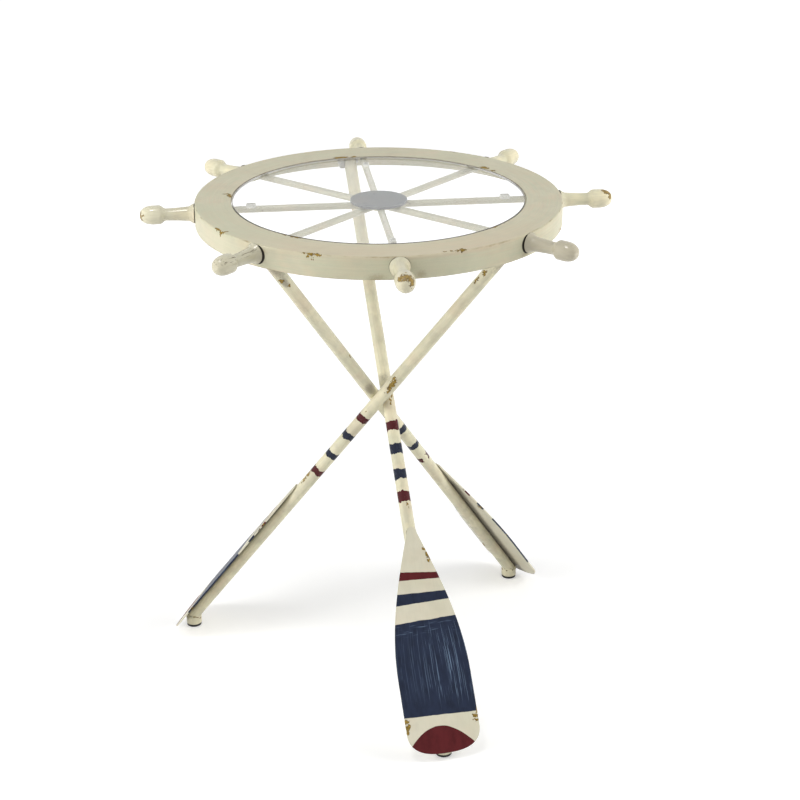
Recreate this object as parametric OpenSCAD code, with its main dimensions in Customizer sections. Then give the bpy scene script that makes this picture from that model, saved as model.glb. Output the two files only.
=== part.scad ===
// Ship wheel end table: a wheel shaped top with a glass inset, standing on three crossed oars.
// Millimetres, Z up. The origin is on the floor, straight below the middle of the wheel.

/* [Table] */
// Height of the table, floor to the top face of the rim
table_h = 635; // [480:5:760]

/* [Wheel rim] */
// Outer radius of the rim
rim_r = 225; // [200:1:300]
// Width of the rim's flat top, from its outer edge to the glass opening
rim_w = 45; // [38:1:60]
// Height of the rim, top plate and skirt together
rim_h = 27.5; // [24:0.5:45]
// Thickness of the rim's sheet steel
rim_t = 2; // [1.5:0.5:3]
// Height of the lip around the glass opening, top plate included
lip_h = 5; // [4:0.5:6]

/* [Glass] */
// Thickness of the glass
glass_t = 5; // [3:0.5:6]
// Gap between the glass and the lip, all round
glass_gap = 0.7; // [0.4:0.1:2]
// Width of the ground bevel on the glass's edges
glass_bevel = 0.6; // [0.2:0.1:1]

/* [Hub and spokes] */
// Diameter of a spoke rod
spoke_d = 8.5; // [6:0.5:9]
// Diameter of the threaded stud at the end of a spoke
stud_d = 5; // [4:0.5:5]
// Length of the stud that reaches into a handle
stud_grip = 18; // [12:1:24]
// Radius of the hub disc
hub_r = 35; // [24:1:50]
// Thickness of the hub disc
hub_t = 3; // [2:0.5:5]
// Width across the flats of the boss under the hub disc
boss_w = 26; // [24:1:36]
// Length of a pad between a spoke and the glass
pad_l = 12; // [8:1:20]
// Width of a pad
pad_w = 7.5; // [4:0.5:8]
// Distance from a pad's middle to the edge of the glass
pad_inset = 23; // [16:1:60]

/* [Handles] */
// Length of a handle
handle_l = 66; // [60:1:90]
// Radius of the flange where a handle meets the rim
flange_r = 12.2; // [10:0.1:12.2]
// Radius of the handle behind its flange
collar_r = 9; // [8:0.5:10]
// Radius of the handle's waist
waist_r = 7.5; // [5.5:0.5:8]
// Radius of the handle's grip
grip_r = 11.6; // [9:0.1:13]
// Length of the handle's grip, from its shoulder to its tip
grip_l = 23.5; // [20:0.5:28]

/* [Oar shafts] */
// Diameter of a shaft's tube
tube_d = 16; // [13:0.5:18]
// Wall of a shaft's tube
tube_t = 1.2; // [1:0.1:2.5]
// Gap between two shafts where they cross
cross_gap = 0.2; // [0.1:0.1:1]
// Distance from a shaft's line to the inside of the rim, at half the rim's height
top_inset = 29.5; // [26:0.5:32]
// Gap between the nut on the first shaft and the spoke beside it
spoke_gap = 2.5; // [1:0.5:6]
// Distance of a foot from the wheel's axis
foot_r = 268; // [220:1:320]

/* [Oar blades] */
// Greatest width of a blade
blade_w = 92.5; // [60:0.5:120]
// Thickness of a blade's sheet steel
blade_t = 2; // [1.5:0.5:3]
// Width of a blade's neck
neck_w = 13; // [8:1:16]
// How far each blade's tip reaches past its foot, along its shaft
blade_past = [13, 18, 15]; // [0:1:18]
// Length of the blade's rounded end
round_l = 31; // [20:1:50]
// How square the rounded end is, from 2 for an ellipse
round_bend = 2.6; // [2:0.1:4]
// Distance from the tip to where the blade starts to narrow
belly_l = 94; // [60:1:120]
// Distance from the tip to the neck
neck_l = 275; // [200:1:320]
// Length of the straight tang between the neck and the blade's round upper end
tang_l = 1.5; // [0.5:0.5:30]

/* [Feet] */
// Radius of a foot
foot_post_r = 10.5; // [10:0.5:14]
// Height of a foot above its cap
foot_post_h = 11.5; // [8:0.5:20]
// Thickness of a foot's rubber cap
cap_h = 3.5; // [2.5:0.5:6]
// How far a cap's side lies inside the foot's side
cap_inset = 0.4; // [0:0.1:1]
// Radius of a cap's stem
stem_r = 3; // [2:0.5:4]
// Length of a cap's stem
stem_l = 6.5; // [4:0.5:7]

/* [Top fixings] */
// Thickness of the lug beside a shaft's upper end
lug_t = 6; // [3:0.5:7]
// Width of a lug
lug_w = 13; // [10:0.5:16]
// Height of a lug
lug_h = 18; // [12:0.5:20]
// Diameter of the bolt through a lug and a shaft
bolt_d = 4; // [3:0.5:5]

/* [Hidden] */
// Play of a bolt, a stud or a stem in its hole, all round
play = 0.2;
// How far a cutting body reaches past the face it cuts
over = 1;
// Roundness of turned surfaces
$fn = 96;

plate_z = table_h - rim_t;
skirt_z = table_h - rim_h;
wall_r = rim_r - rim_t;
opening_r = rim_r - rim_w;
glass_r = opening_r - glass_gap;
glass_z = table_h - glass_t;
hub_z = glass_z - hub_t;
spoke_z = hub_z - spoke_d / 2;
// a spoke's square end meets the skirt's round wall at its corners
spoke_end = sqrt(pow(wall_r, 2) - pow(spoke_d / 2, 2));
pad_r = glass_r - pad_inset;
PADS = 4;

// the turned shapes of a handle: flange, flare behind it, shoulder and domed end
flange_h = 1.2;
flare_l = 5.5;
flare_bend = 1.15;
shoulder_l = 8;
dome_l = 16;
dome_bend = 0.75;

// common proportions of a small bolt and its nut
head_r = bolt_d * 0.9;
head_h = bolt_d * 0.65;
nut_w = bolt_d * 1.75;
nut_h = bolt_d * 0.75;
// gap between a lug and its shaft
lug_gap = 0.3;
bolt_z = plate_z - lug_h / 2;

// three shafts that turn about one axis and just clear each other
foot_z = cap_h + foot_post_h;
top_z = table_h - rim_h / 2;
top_r = wall_r - top_inset;
function chord(c) = sqrt(pow(top_r, 2) - pow(c, 2)) + sqrt(pow(foot_r, 2) - pow(c, 2));
function slope(c) = chord(c) / (top_z - foot_z);
function miss(c) = (tube_d + cross_gap) * sqrt(3 + 0.75 * pow(slope(c), 2)) / 3;
// distance of each shaft's line from the wheel's axis, refined twice
shaft_miss = miss(miss(tube_d / 2));
lean = atan(slope(shaft_miss));
shaft_l = (top_z - foot_z) / cos(lean);
// the first shaft ends beside the spoke that points along +Y
top_angle = 90 + asin((tube_d / 2 + nut_h + spoke_gap + spoke_d / 2) / top_r);
// plan direction from a shaft's upper end to its foot, and the direction of the foot itself
run_angle = top_angle - 180 + asin(shaft_miss / top_r);
foot_angle = run_angle + asin(shaft_miss / foot_r);

SPOKES = 8;
SHAFTS = 3;
NUT_SIDES = 6;

CREAM = [0.87, 0.84, 0.74];
NAVY = [0.16, 0.21, 0.31];
PAD_GREY = [0.72, 0.72, 0.7];
GLASS = [0.86, 0.9, 0.93, 0.35];
RUBBER = [0.08, 0.08, 0.08];
STEEL = [0.6, 0.6, 0.58];

// A flat ring, from its bottom up
module ring(outer, inner, height) {
    difference() {
        cylinder(r = outer, h = height);
        translate([0, 0, -over]) cylinder(r = inner, h = height + 2 * over);
    }
}

// Puts a part that lies along X at the place of spoke number i
module at_spoke(i) {
    rotate([0, 0, 360 / SPOKES * (i - 1)]) translate([0, 0, spoke_z]) children();
}

// Puts a part at the foot of shaft number k, on the floor, with X pointing outwards along the shaft
module at_foot(k) {
    rotate([0, 0, foot_angle + 360 / SHAFTS * (k - 1)]) translate([foot_r, 0, 0])
        rotate([0, 0, run_angle - foot_angle]) children();
}

// Puts a part in the shaft's own frame: Z up along the shaft from its foot, X on the blade's side
module on_shaft(k) {
    at_foot(k) translate([0, 0, foot_z]) rotate([0, -lean, 0]) children();
}

// Puts a part at the upper end of shaft number k, at the bolt's height, with X as at the foot
module at_bolt(k) {
    along = (bolt_z - foot_z) * tan(lean);
    at_foot(k) translate([-along, 0, bolt_z]) children();
}

// The glass, with its edges ground to a small bevel
module glass_top() {
    color(GLASS) translate([0, 0, glass_z]) rotate_extrude()
        polygon([
            [0, 0],
            [glass_r - glass_bevel, 0],
            [glass_r, glass_bevel],
            [glass_r, glass_t - glass_bevel],
            [glass_r - glass_bevel, glass_t],
            [0, glass_t]
        ]);
}

// The rim's flat top
module rim_plate() {
    color(CREAM) translate([0, 0, plate_z]) ring(rim_r, opening_r, rim_t);
}

// The rim's upright band, drilled for the studs
module rim_skirt() {
    color(CREAM) difference() {
        translate([0, 0, skirt_z]) ring(rim_r, wall_r, rim_h - rim_t);
        for (i = [1:SPOKES]) at_spoke(i) translate([wall_r - 2 * over, 0, 0])
            rotate([0, 90, 0]) cylinder(d = stud_d + 2 * play, h = rim_t + 4 * over);
    }
}

// The lip that frames the glass
module rim_lip() {
    color(CREAM) translate([0, 0, table_h - lip_h]) ring(opening_r + rim_t, opening_r, lip_h - rim_t);
}

// The hub disc, which the glass rests on
module hub_disc() {
    color(CREAM) translate([0, 0, hub_z]) cylinder(r = hub_r, h = hub_t);
}

// The boss that the spokes butt against, with one flat face for each
module hub_boss() {
    half_turn = 180 / SPOKES;
    color(CREAM) translate([0, 0, hub_z - spoke_d]) rotate([0, 0, half_turn])
        cylinder(r = boss_w / 2 / cos(half_turn), h = spoke_d, $fn = SPOKES);
}

// The pads on every other spoke, which carry the glass; each fits over the rod
module glass_pads() {
    color(PAD_GREY) for (i = [1:SPOKES / PADS:SPOKES]) at_spoke(i) difference() {
        translate([pad_r - pad_l / 2, -pad_w / 2, 0]) cube([pad_l, pad_w, glass_z - spoke_z]);
        rotate([0, 90, 0]) cylinder(d = spoke_d, h = rim_r);
    }
}

// A spoke: a rod from the boss to the skirt, then a stud that holds the handle
module spoke(i) {
    color(CREAM) at_spoke(i) rotate([0, 90, 0]) {
        translate([0, 0, boss_w / 2]) cylinder(d = spoke_d, h = spoke_end - boss_w / 2);
        translate([0, 0, wall_r - stud_grip]) cylinder(d = stud_d, h = rim_t + 2 * stud_grip);
    }
}

// The turned handle's outline from its flange to its tip, as [radius, distance from the rim]
shoulder_at = handle_l - grip_l - shoulder_l;
flare = [
    for (t = [0:0.2:1]) [flange_r + (collar_r - flange_r) * t, flange_h + flare_l * pow(t, flare_bend)]
];
flare_end = flange_h + flare_l;
taper = [
    for (t = [15:15:90]) [
        collar_r + (waist_r - collar_r) * sin(t),
        flare_end + (shoulder_at - flare_end) * t / 90
    ]
];
shoulder = [
    for (t = [22.5:22.5:180]) [
        waist_r + (grip_r - waist_r) * (1 - cos(t)) / 2,
        shoulder_at + shoulder_l * t / 180
    ]
];
dome = [for (t = [0:9:90]) [grip_r * pow(cos(t), dome_bend), handle_l - dome_l + dome_l * sin(t)]];
handle_profile = concat([[0, 0], [flange_r, 0]], flare, taper, shoulder, dome);

// A turned handle, bored for the stud
module handle(i) {
    color(CREAM) at_spoke(i) translate([rim_r, 0, 0]) rotate([0, 90, 0]) difference() {
        rotate_extrude() polygon(handle_profile);
        translate([0, 0, -over]) cylinder(d = stud_d + 2 * play, h = stud_grip + 2 * over);
    }
}

// A shaft: a tube cut level under the rim's plate and on the foot, and drilled for its bolt
module oar_shaft(k) {
    reach = foot_r + rim_r;
    color(CREAM) difference() {
        on_shaft(k) translate([0, 0, -tube_d]) ring(tube_d / 2, tube_d / 2 - tube_t, shaft_l + 3 * tube_d);
        translate([-reach, -reach, plate_z]) cube([2 * reach, 2 * reach, table_h]);
        translate([-reach, -reach, foot_z - table_h]) cube([2 * reach, 2 * reach, table_h]);
        at_bolt(k) rotate([90, 0, 0]) cylinder(d = bolt_d + 2 * play, h = 2 * tube_d, center = true);
    }
}

// Half width of a blade at a distance from its tip
function blade_half(u) =
    u < round_l ? blade_w / 2 * pow(1 - pow(1 - u / round_l, round_bend), 1 / round_bend) :
    u < belly_l ? blade_w / 2 :
    u < neck_l ? neck_w / 2 + (blade_w - neck_w) / 2 * cos(90 * (u - belly_l) / (neck_l - belly_l)) :
    neck_w / 2;
function round_u(t) = round_l * (1 - pow(cos(t), 2 / round_bend));
blade_side = concat(
    [for (t = [0:7.5:90]) [blade_half(round_u(t)), round_u(t)]],
    [for (t = [0:1 / 16:1]) [blade_half(belly_l + (neck_l - belly_l) * t), belly_l + (neck_l - belly_l) * t]],
    [for (t = [0:15:75]) [neck_w / 2 * cos(t), neck_l + tang_l + neck_w / 2 * sin(t)]]
);
blade_outline = concat(
    blade_side,
    [[0, neck_l + tang_l + neck_w / 2]],
    [for (i = [len(blade_side) - 1:-1:1]) [-blade_side[i][0], blade_side[i][1]]]
);

// A blade: a flat sheet that lies on the outer side of its shaft
module oar_blade(k) {
    color(NAVY) on_shaft(k) translate([tube_d / 2, 0, -blade_past[k - 1]]) rotate([90, 0, 90])
        linear_extrude(blade_t) polygon(blade_outline);
}

// A foot: a short post that the shaft stands on
module foot_post(k) {
    color(CREAM) at_foot(k) translate([0, 0, cap_h]) difference() {
        cylinder(r = foot_post_r, h = foot_post_h);
        translate([0, 0, -over]) cylinder(r = stem_r + play, h = stem_l + 2 * over);
    }
}

// A rubber cap, whose stem goes up into the foot
module foot_cap(k) {
    side_r = foot_post_r - cap_inset;
    color(RUBBER) at_foot(k) rotate_extrude()
        polygon([
            [0, 0],
            [side_r - cap_h / 3, 0],
            [side_r, cap_h / 3],
            [side_r, cap_h],
            [stem_r, cap_h],
            [stem_r, cap_h + stem_l],
            [0, cap_h + stem_l]
        ]);
}

// A lug under the rim's plate, which its shaft is bolted to
module shaft_lug(k) {
    color(CREAM) at_bolt(k) difference() {
        translate([-lug_w / 2, -tube_d / 2 - lug_gap - lug_t, -lug_h / 2]) cube([lug_w, lug_t, lug_h]);
        rotate([90, 0, 0]) cylinder(d = bolt_d + 2 * play, h = 2 * (tube_d + lug_t));
    }
}

// The bolts through the lugs and the shafts, heads on the lugs' side
module lug_bolts() {
    head_y = -tube_d / 2 - lug_gap - lug_t;
    shank_l = tube_d + lug_gap + lug_t + nut_h;
    color(STEEL) for (k = [1:SHAFTS]) at_bolt(k) translate([0, head_y, 0]) {
        rotate([-90, 0, 0]) cylinder(d = bolt_d, h = shank_l);
        rotate([90, 0, 0]) cylinder(r = head_r, h = head_h);
    }
}

// The nuts on the shafts' other side
module lug_nuts() {
    color(STEEL) for (k = [1:SHAFTS]) at_bolt(k) translate([0, tube_d / 2, 0]) rotate([-90, 0, 0])
        difference() {
            cylinder(r = nut_w / 2 / cos(180 / NUT_SIDES), h = nut_h, $fn = NUT_SIDES);
            translate([0, 0, -over]) cylinder(d = bolt_d + play, h = nut_h + 2 * over);
        }
}

glass_top();
rim_plate();
rim_skirt();
rim_lip();
hub_disc();
hub_boss();
glass_pads();
for (i = [1:SPOKES]) spoke(i);
for (i = [1:SPOKES]) handle(i);
for (k = [1:SHAFTS]) oar_shaft(k);
for (k = [1:SHAFTS]) oar_blade(k);
for (k = [1:SHAFTS]) foot_post(k);
for (k = [1:SHAFTS]) foot_cap(k);
for (k = [1:SHAFTS]) shaft_lug(k);
lug_bolts();
lug_nuts();
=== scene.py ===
from math import cos, pi, radians, sin, sqrt

import bpy
from mathutils import Matrix, Vector
from mathutils.geometry import intersect_line_line


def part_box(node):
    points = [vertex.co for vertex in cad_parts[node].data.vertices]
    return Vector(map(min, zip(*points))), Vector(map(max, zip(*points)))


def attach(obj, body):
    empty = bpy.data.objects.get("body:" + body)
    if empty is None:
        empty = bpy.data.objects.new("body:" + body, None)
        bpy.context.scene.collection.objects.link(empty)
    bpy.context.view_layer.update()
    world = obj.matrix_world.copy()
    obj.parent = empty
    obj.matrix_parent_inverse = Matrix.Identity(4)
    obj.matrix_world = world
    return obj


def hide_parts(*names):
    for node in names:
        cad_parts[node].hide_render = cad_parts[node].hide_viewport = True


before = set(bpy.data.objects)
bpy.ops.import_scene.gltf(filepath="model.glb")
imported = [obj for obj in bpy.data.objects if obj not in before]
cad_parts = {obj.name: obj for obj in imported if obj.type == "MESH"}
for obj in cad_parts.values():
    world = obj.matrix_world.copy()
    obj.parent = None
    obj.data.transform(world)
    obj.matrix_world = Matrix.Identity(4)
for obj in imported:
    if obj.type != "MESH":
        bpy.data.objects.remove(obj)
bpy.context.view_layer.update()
print("frame loaded:", len(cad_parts), "nodes")

# ship wheel end table, all sizes in metres

origin = (0, 0, 0)
upward = Vector((0, 0, 1))


# modelling helpers

def leaveEdit():
    if bpy.context.mode != "OBJECT":
        bpy.ops.object.mode_set(mode="OBJECT")


def editAll():
    bpy.ops.object.mode_set(mode="EDIT")
    bpy.ops.mesh.select_all(action="SELECT")


def deselectAll():
    leaveEdit()
    bpy.ops.object.select_all(action="DESELECT")


def pickOnly(piece):
    deselectAll()
    piece.select_set(True)
    bpy.context.view_layer.objects.active = piece


def startPiece(name):
    piece = bpy.context.active_object
    piece.name = name
    piece.data.name = name
    return piece


def copyPiece(source, name):
    pickOnly(source)
    bpy.ops.object.duplicate(linked=False)
    return startPiece(name)


def joinPieces(pieces, name):
    deselectAll()
    for piece in pieces:
        piece.select_set(True)
    bpy.context.view_layer.objects.active = pieces[0]
    bpy.ops.object.join()
    return startPiece(name)


def applyPlace():
    bpy.ops.object.transform_apply(location=True, rotation=True, scale=True)


def smoothFaces(angle=35):
    bpy.ops.object.shade_smooth_by_angle(angle=radians(angle))


# merges doubled points and turns the faces outwards
def closeShape():
    bpy.ops.mesh.select_all(action="SELECT")
    bpy.ops.mesh.remove_doubles(threshold=1e-6)
    bpy.ops.mesh.normals_make_consistent(inside=False)


# points of an arc round (radius, height), angles in degrees
def arc(radius, height, size, start, end, steps):
    angles = [radians(start + (end - start) * step / steps) for step in range(steps + 1)]
    return [(radius + size * cos(angle), height + size * sin(angle)) for angle in angles]


# a disc with rounded edges; support is how far inside a rounding its flat face starts
def discOutline(low, high, edge, support, steps):
    flat = high.x - edge - support
    outline = [(0, low.z), (flat, low.z)]
    outline += arc(high.x - edge, low.z + edge, edge, -90, 0, steps)
    outline += arc(high.x - edge, high.z - edge, edge, 0, 90, steps)
    return outline + [(flat, high.z), (0, high.z)]


# a turned shape about Z: one corner is extruded along the outline of (radius, height), then spun
def spinShape(name, outline, sides):
    deselectAll()
    bpy.ops.mesh.primitive_plane_add(size=0.01)
    piece = startPiece(name)
    editAll()
    bpy.ops.mesh.merge(type="CENTER")
    bpy.ops.transform.translate(value=(outline[0][0], 0, outline[0][1]))
    for (radius, height), (nextRadius, nextHeight) in zip(outline, outline[1:]):
        move = (nextRadius - radius, 0, nextHeight - height)
        bpy.ops.mesh.extrude_vertices_move(TRANSFORM_OT_translate={"value": move})
    bpy.ops.mesh.select_all(action="SELECT")
    bpy.ops.mesh.spin(steps=sides, angle=2 * pi, center=origin, axis=(0, 0, 1))
    closeShape()
    leaveEdit()
    smoothFaces()
    return piece


def addBox(name, middle, size):
    deselectAll()
    bpy.ops.mesh.primitive_cube_add(size=1, location=middle, scale=size)
    applyPlace()
    return startPiece(name)


def roundEdges(piece, width, segments, smoothAngle=50):
    pickOnly(piece)
    bevel = piece.modifiers.new("edges", "BEVEL")
    bevel.width = width
    bevel.segments = segments
    bevel.limit_method = "ANGLE"
    bevel.angle_limit = radians(40)
    bpy.ops.object.modifier_apply(modifier=bevel.name)
    smoothFaces(smoothAngle)


# a blob of weld: the piece at hand is stretched and made uneven
def shapeBead(stretch, unevenness, seed, smoothing):
    editAll()
    bpy.ops.transform.resize(value=stretch, center_override=origin)
    bpy.ops.transform.vertex_random(offset=unevenness, seed=seed)
    bpy.ops.mesh.vertices_smooth(factor=smoothing)
    leaveEdit()
    bpy.ops.object.shade_smooth()


# brings a piece from its own axes to its place, and keeps its own coordinates for the paint
def settle(piece, place=Matrix()):
    pickOnly(piece)
    piece.matrix_world = place
    applyPlace()
    keepPlace(piece, place)
    return piece


def keepPlace(piece, place):
    mesh = piece.data
    back = place.inverted()
    held = mesh.attributes.get("place") or mesh.attributes.new("place", "FLOAT_VECTOR", "POINT")
    flat = [value for vertex in mesh.vertices for value in back @ vertex.co]
    held.data.foreach_set("vector", flat)


def finishPiece(piece, material, slot, *nodes, body="frame"):
    piece.data.materials.clear()
    piece.data.materials.append(material)
    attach(piece, body)
    if nodes:
        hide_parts(*nodes)


# axes of a place: columns X, Y, Z and where it starts
def placeOf(start, xAxis, yAxis, zAxis):
    place = Matrix((xAxis, yAxis, zAxis)).transposed().to_4x4()
    place.translation = start
    return place


# camera, lights and floor

cameraLook = {
    "place": (-0.2258, -2.1797, 1.3126),
    "turn": radians(-6.58),  # about Z, from straight along +Y
    "tilt": radians(-23.41),  # below level
    "roll": radians(-0.14),
    "focal": 1861.3,  # in pixels of a frame 800 wide
    "frameWidth": 800,
    "sensorWidth": 36,  # in millimetres
    "farthest": 60,
}


def addCamera(look):
    data = bpy.data.cameras.new("camera")
    data.sensor_width = look["sensorWidth"]
    data.lens = look["focal"] / look["frameWidth"] * data.sensor_width
    data.clip_end = look["farthest"]
    camera = bpy.data.objects.new("camera", data)
    bpy.context.scene.collection.objects.link(camera)
    turned = Matrix.Rotation(look["turn"], 4, "Z") @ Matrix.Rotation(pi / 2 + look["tilt"], 4, "X")
    camera.matrix_world = Matrix.Translation(look["place"]) @ turned @ Matrix.Rotation(look["roll"], 4, "Z")
    bpy.context.scene.camera = camera


lampLooks = [
    # name, place, aim, width, height, watts, colour, whether glossy paint and glass mirror it
    ("lampLeft", (-1.9, -0.5, 1.0), (0, 0, 0.45), 1.2, 1.9, 30, (1.0, 0.99, 0.97), False),
    ("lampRight", (1.9, -0.3, 1.05), (0, 0, 0.45), 1.2, 1.9, 34, (1.0, 0.99, 0.97), False),
    ("lampFront", (-0.7, -2.6, 0.85), (0, 0, 0.3), 1.6, 1.0, 11.5, (1.0, 0.995, 0.98), False),
    ("lampBack", (0.2, 2.1, 1.0), (0, 0, 0.5), 2.2, 1.2, 9, (0.98, 0.99, 1.0), False),
    ("lampTop", (-0.5, -0.4, 2.3), (0, 0, 0.5), 0.44, 0.44, 9, (1.0, 0.995, 0.98), True),
]


def addLamp(name, place, aim, width, height, watts, colour, mirrored):
    data = bpy.data.lights.new(name, "AREA")
    data.shape = "RECTANGLE"
    data.size = width
    data.size_y = height
    data.energy = watts
    data.color = colour
    lamp = bpy.data.objects.new(name, data)
    bpy.context.scene.collection.objects.link(lamp)
    lamp.visible_glossy = mirrored
    lamp.location = place
    lamp.rotation_euler = (Vector(aim) - Vector(place)).to_track_quat("-Z", "Y").to_euler()


stageLook = {
    "ambient": 0.27,
    "ambientColour": (0.97, 0.985, 1.0, 1),
    "white": (1, 1, 1, 1),
    "floorSize": 40,
    "floorDrop": 0.0002,
    "floorColour": (0.78, 0.78, 0.78, 1),
    "floorLift": (0.36, 0.84),  # how much it glows near the table and far from it
    "liftReach": (0.5, 3.2),
}


# 1 for rays that show the background: straight, mirrored or through the glass
def seenDirectly(tree):
    path = addNode(tree, "LightPath", {}).outputs
    return largest(tree, path["Is Camera Ray"], path["Is Glossy Ray"], path["Is Transmission Ray"])


def makeStage(look):
    world = bpy.data.worlds.new("studio")
    world.use_nodes = True
    bpy.context.scene.world = world
    tree = world.node_tree
    tree.nodes.clear()
    ambient = addNode(tree, "Background", {"Color": look["ambientColour"], "Strength": look["ambient"]})
    white = addNode(tree, "Background", {"Color": look["white"], "Strength": 1})
    shown = addNode(tree, "MixShader", {0: seenDirectly(tree), 1: ambient.outputs[0], 2: white.outputs[0]})
    addNode(tree, "OutputWorld", {"Surface": shown.outputs[0]})
    deselectAll()
    bpy.ops.mesh.primitive_plane_add(size=look["floorSize"], location=(0, 0, -look["floorDrop"]))
    floor = startPiece("floor")
    material, tree, shader = newMaterial("floorWhite")
    near, far = look["floorLift"]
    spread = smoothStep(tree, vectorMath(tree, "LENGTH", objectPlace(tree)), *look["liftReach"])
    fillInputs(tree, shader, {
        "Base Color": look["floorColour"],
        "Roughness": 1,
        "Specular IOR Level": 0,
        "Emission Color": look["white"],
        "Emission Strength": times(tree, seenDirectly(tree), scaled(tree, spread, far - near, near)),
    })
    floor.data.materials.append(material)


# shader helpers

# a colour as seen, in steps of 255, as light
def linear(red, green, blue):
    levels = []
    for value in (red, green, blue):
        level = value / 255
        levels.append(level / 12.92 if level < 0.04045 else ((level + 0.055) / 1.055) ** 2.4)
    return (*levels, 1)


def newMaterial(name):
    material = bpy.data.materials.new(name)
    material.use_nodes = True
    return material, material.node_tree, material.node_tree.nodes["Principled BSDF"]


# sets a node's inputs: another node's output is linked, anything else is a fixed value
def fillInputs(tree, node, inputs):
    for name, value in inputs.items():
        if isinstance(value, bpy.types.NodeSocket):
            tree.links.new(value, node.inputs[name])
        else:
            node.inputs[name].default_value = value
    return node


def addNode(tree, kind, inputs, **settings):
    node = tree.nodes.new("ShaderNode" + kind)
    for name, value in settings.items():
        setattr(node, name, value)
    return fillInputs(tree, node, inputs)


def calculate(tree, operation, *values):
    return addNode(tree, "Math", dict(enumerate(values)), operation=operation).outputs[0]


def times(tree, first, *others):
    for other in others:
        first = calculate(tree, "MULTIPLY", first, other)
    return first


def largest(tree, first, *others):
    for other in others:
        first = calculate(tree, "MAXIMUM", first, other)
    return first


def minus(tree, value, taken):
    return calculate(tree, "SUBTRACT", value, taken)


# value times factor plus offset
def scaled(tree, value, factor, offset):
    return calculate(tree, "MULTIPLY_ADD", value, factor, offset)


# a value moved up and down by a noise, by up to half of reach
def wandering(tree, value, by, reach):
    return calculate(tree, "ADD", value, scaled(tree, by, reach, -reach / 2))


# 1 at no distance, falling to 0 at the given width
def fading(tree, distance, width):
    return minus(tree, 1, calculate(tree, "DIVIDE", distance, width))


def smoothStep(tree, value, low, high):
    inputs = {"Value": value, "From Min": low, "From Max": high}
    return addNode(tree, "MapRange", inputs, interpolation_type="SMOOTHSTEP").outputs[0]


# 1 from low to high, with soft edges inside them
def bandBetween(tree, value, low, high, soft, softEnd=None):
    rising = smoothStep(tree, value, low, low + soft)
    return times(tree, rising, smoothStep(tree, value, high, high - (softEnd or soft)))


def vectorMath(tree, operation, *values):
    node = addNode(tree, "VectorMath", dict(enumerate(values)), operation=operation)
    return node.outputs["Value" if operation in ("LENGTH", "DISTANCE") else "Vector"]


def split(tree, vector):
    return addNode(tree, "SeparateXYZ", {0: vector}).outputs


def combine(tree, x=0, y=0, z=0):
    return addNode(tree, "CombineXYZ", {0: x, 1: y, 2: z}).outputs[0]


def ownPlace(tree):
    return addNode(tree, "Attribute", {}, attribute_name="place").outputs["Vector"]


def objectPlace(tree):
    return addNode(tree, "TexCoord", {}).outputs["Object"]


def mixColours(tree, amount, under, over):
    return addNode(tree, "Mix", {0: amount, 6: under, 7: over}, data_type="RGBA").outputs[2]


# lays an ink over a colour
def layInk(tree, colour, name, amount, strength=1):
    return mixColours(tree, times(tree, amount, strength), colour, ink[name])


# noise from 0 to 1; a look's row for it has the size of its features in metres, their detail, what is added
# to the seed, and how many times longer they are along each axis, as far as these are needed
def noise(tree, place, seed, size, detail, added=0, stretch=(1, 1, 1)):
    scale = [1 / (size * part) for part in stretch]
    inputs = {"Vector": vectorMath(tree, "MULTIPLY", place, scale), "W": seed + added}
    inputs.update({"Scale": 1, "Detail": detail, "Roughness": 0.6})
    return addNode(tree, "TexNoise", inputs, noise_dimensions="4D").outputs[0]


# soft patches: 0 where the noise is under low and 1 where it is over high, which stand before a row's stretch
def patches(tree, place, seed, size, detail, added, low, high, stretch=(1, 1, 1)):
    return smoothStep(tree, noise(tree, place, seed, size, detail, added, stretch), low, high)


def bump(tree, height, strength, distance):
    return addNode(tree, "Bump", {"Height": height, "Strength": strength, "Distance": distance}).outputs[0]


# pushes places about by up to the given distance, so that what is drawn on them gets uneven outlines
def pushAbout(tree, place, seed, distance, size):
    inputs = {"Vector": vectorMath(tree, "DIVIDE", place, (size,) * 3), "W": seed, "Scale": 1, "Detail": 2}
    push = addNode(tree, "TexNoise", inputs, noise_dimensions="4D").outputs["Color"]
    centred = vectorMath(tree, "SUBTRACT", push, (0.5,) * 3)
    return vectorMath(tree, "ADD", place, vectorMath(tree, "MULTIPLY", centred, (4 * distance,) * 3))


# how far a place lies from a middle, in half sizes, so 1 on the surface of that egg
def eggReach(tree, place, middle, size):
    offset = vectorMath(tree, "SUBTRACT", place, middle)
    return vectorMath(tree, "LENGTH", vectorMath(tree, "DIVIDE", offset, size))


# a tint is given by its middle, half size, tone and strength; fade is where it starts and is full
def tintZone(tree, place, colour, fade, middle, size, tone, strength):
    zone = smoothStep(tree, eggReach(tree, place, middle, size), *fade)
    return layInk(tree, colour, tone, zone, strength)


# the enamel: colours as seen, its layers, dirt and chips

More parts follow.
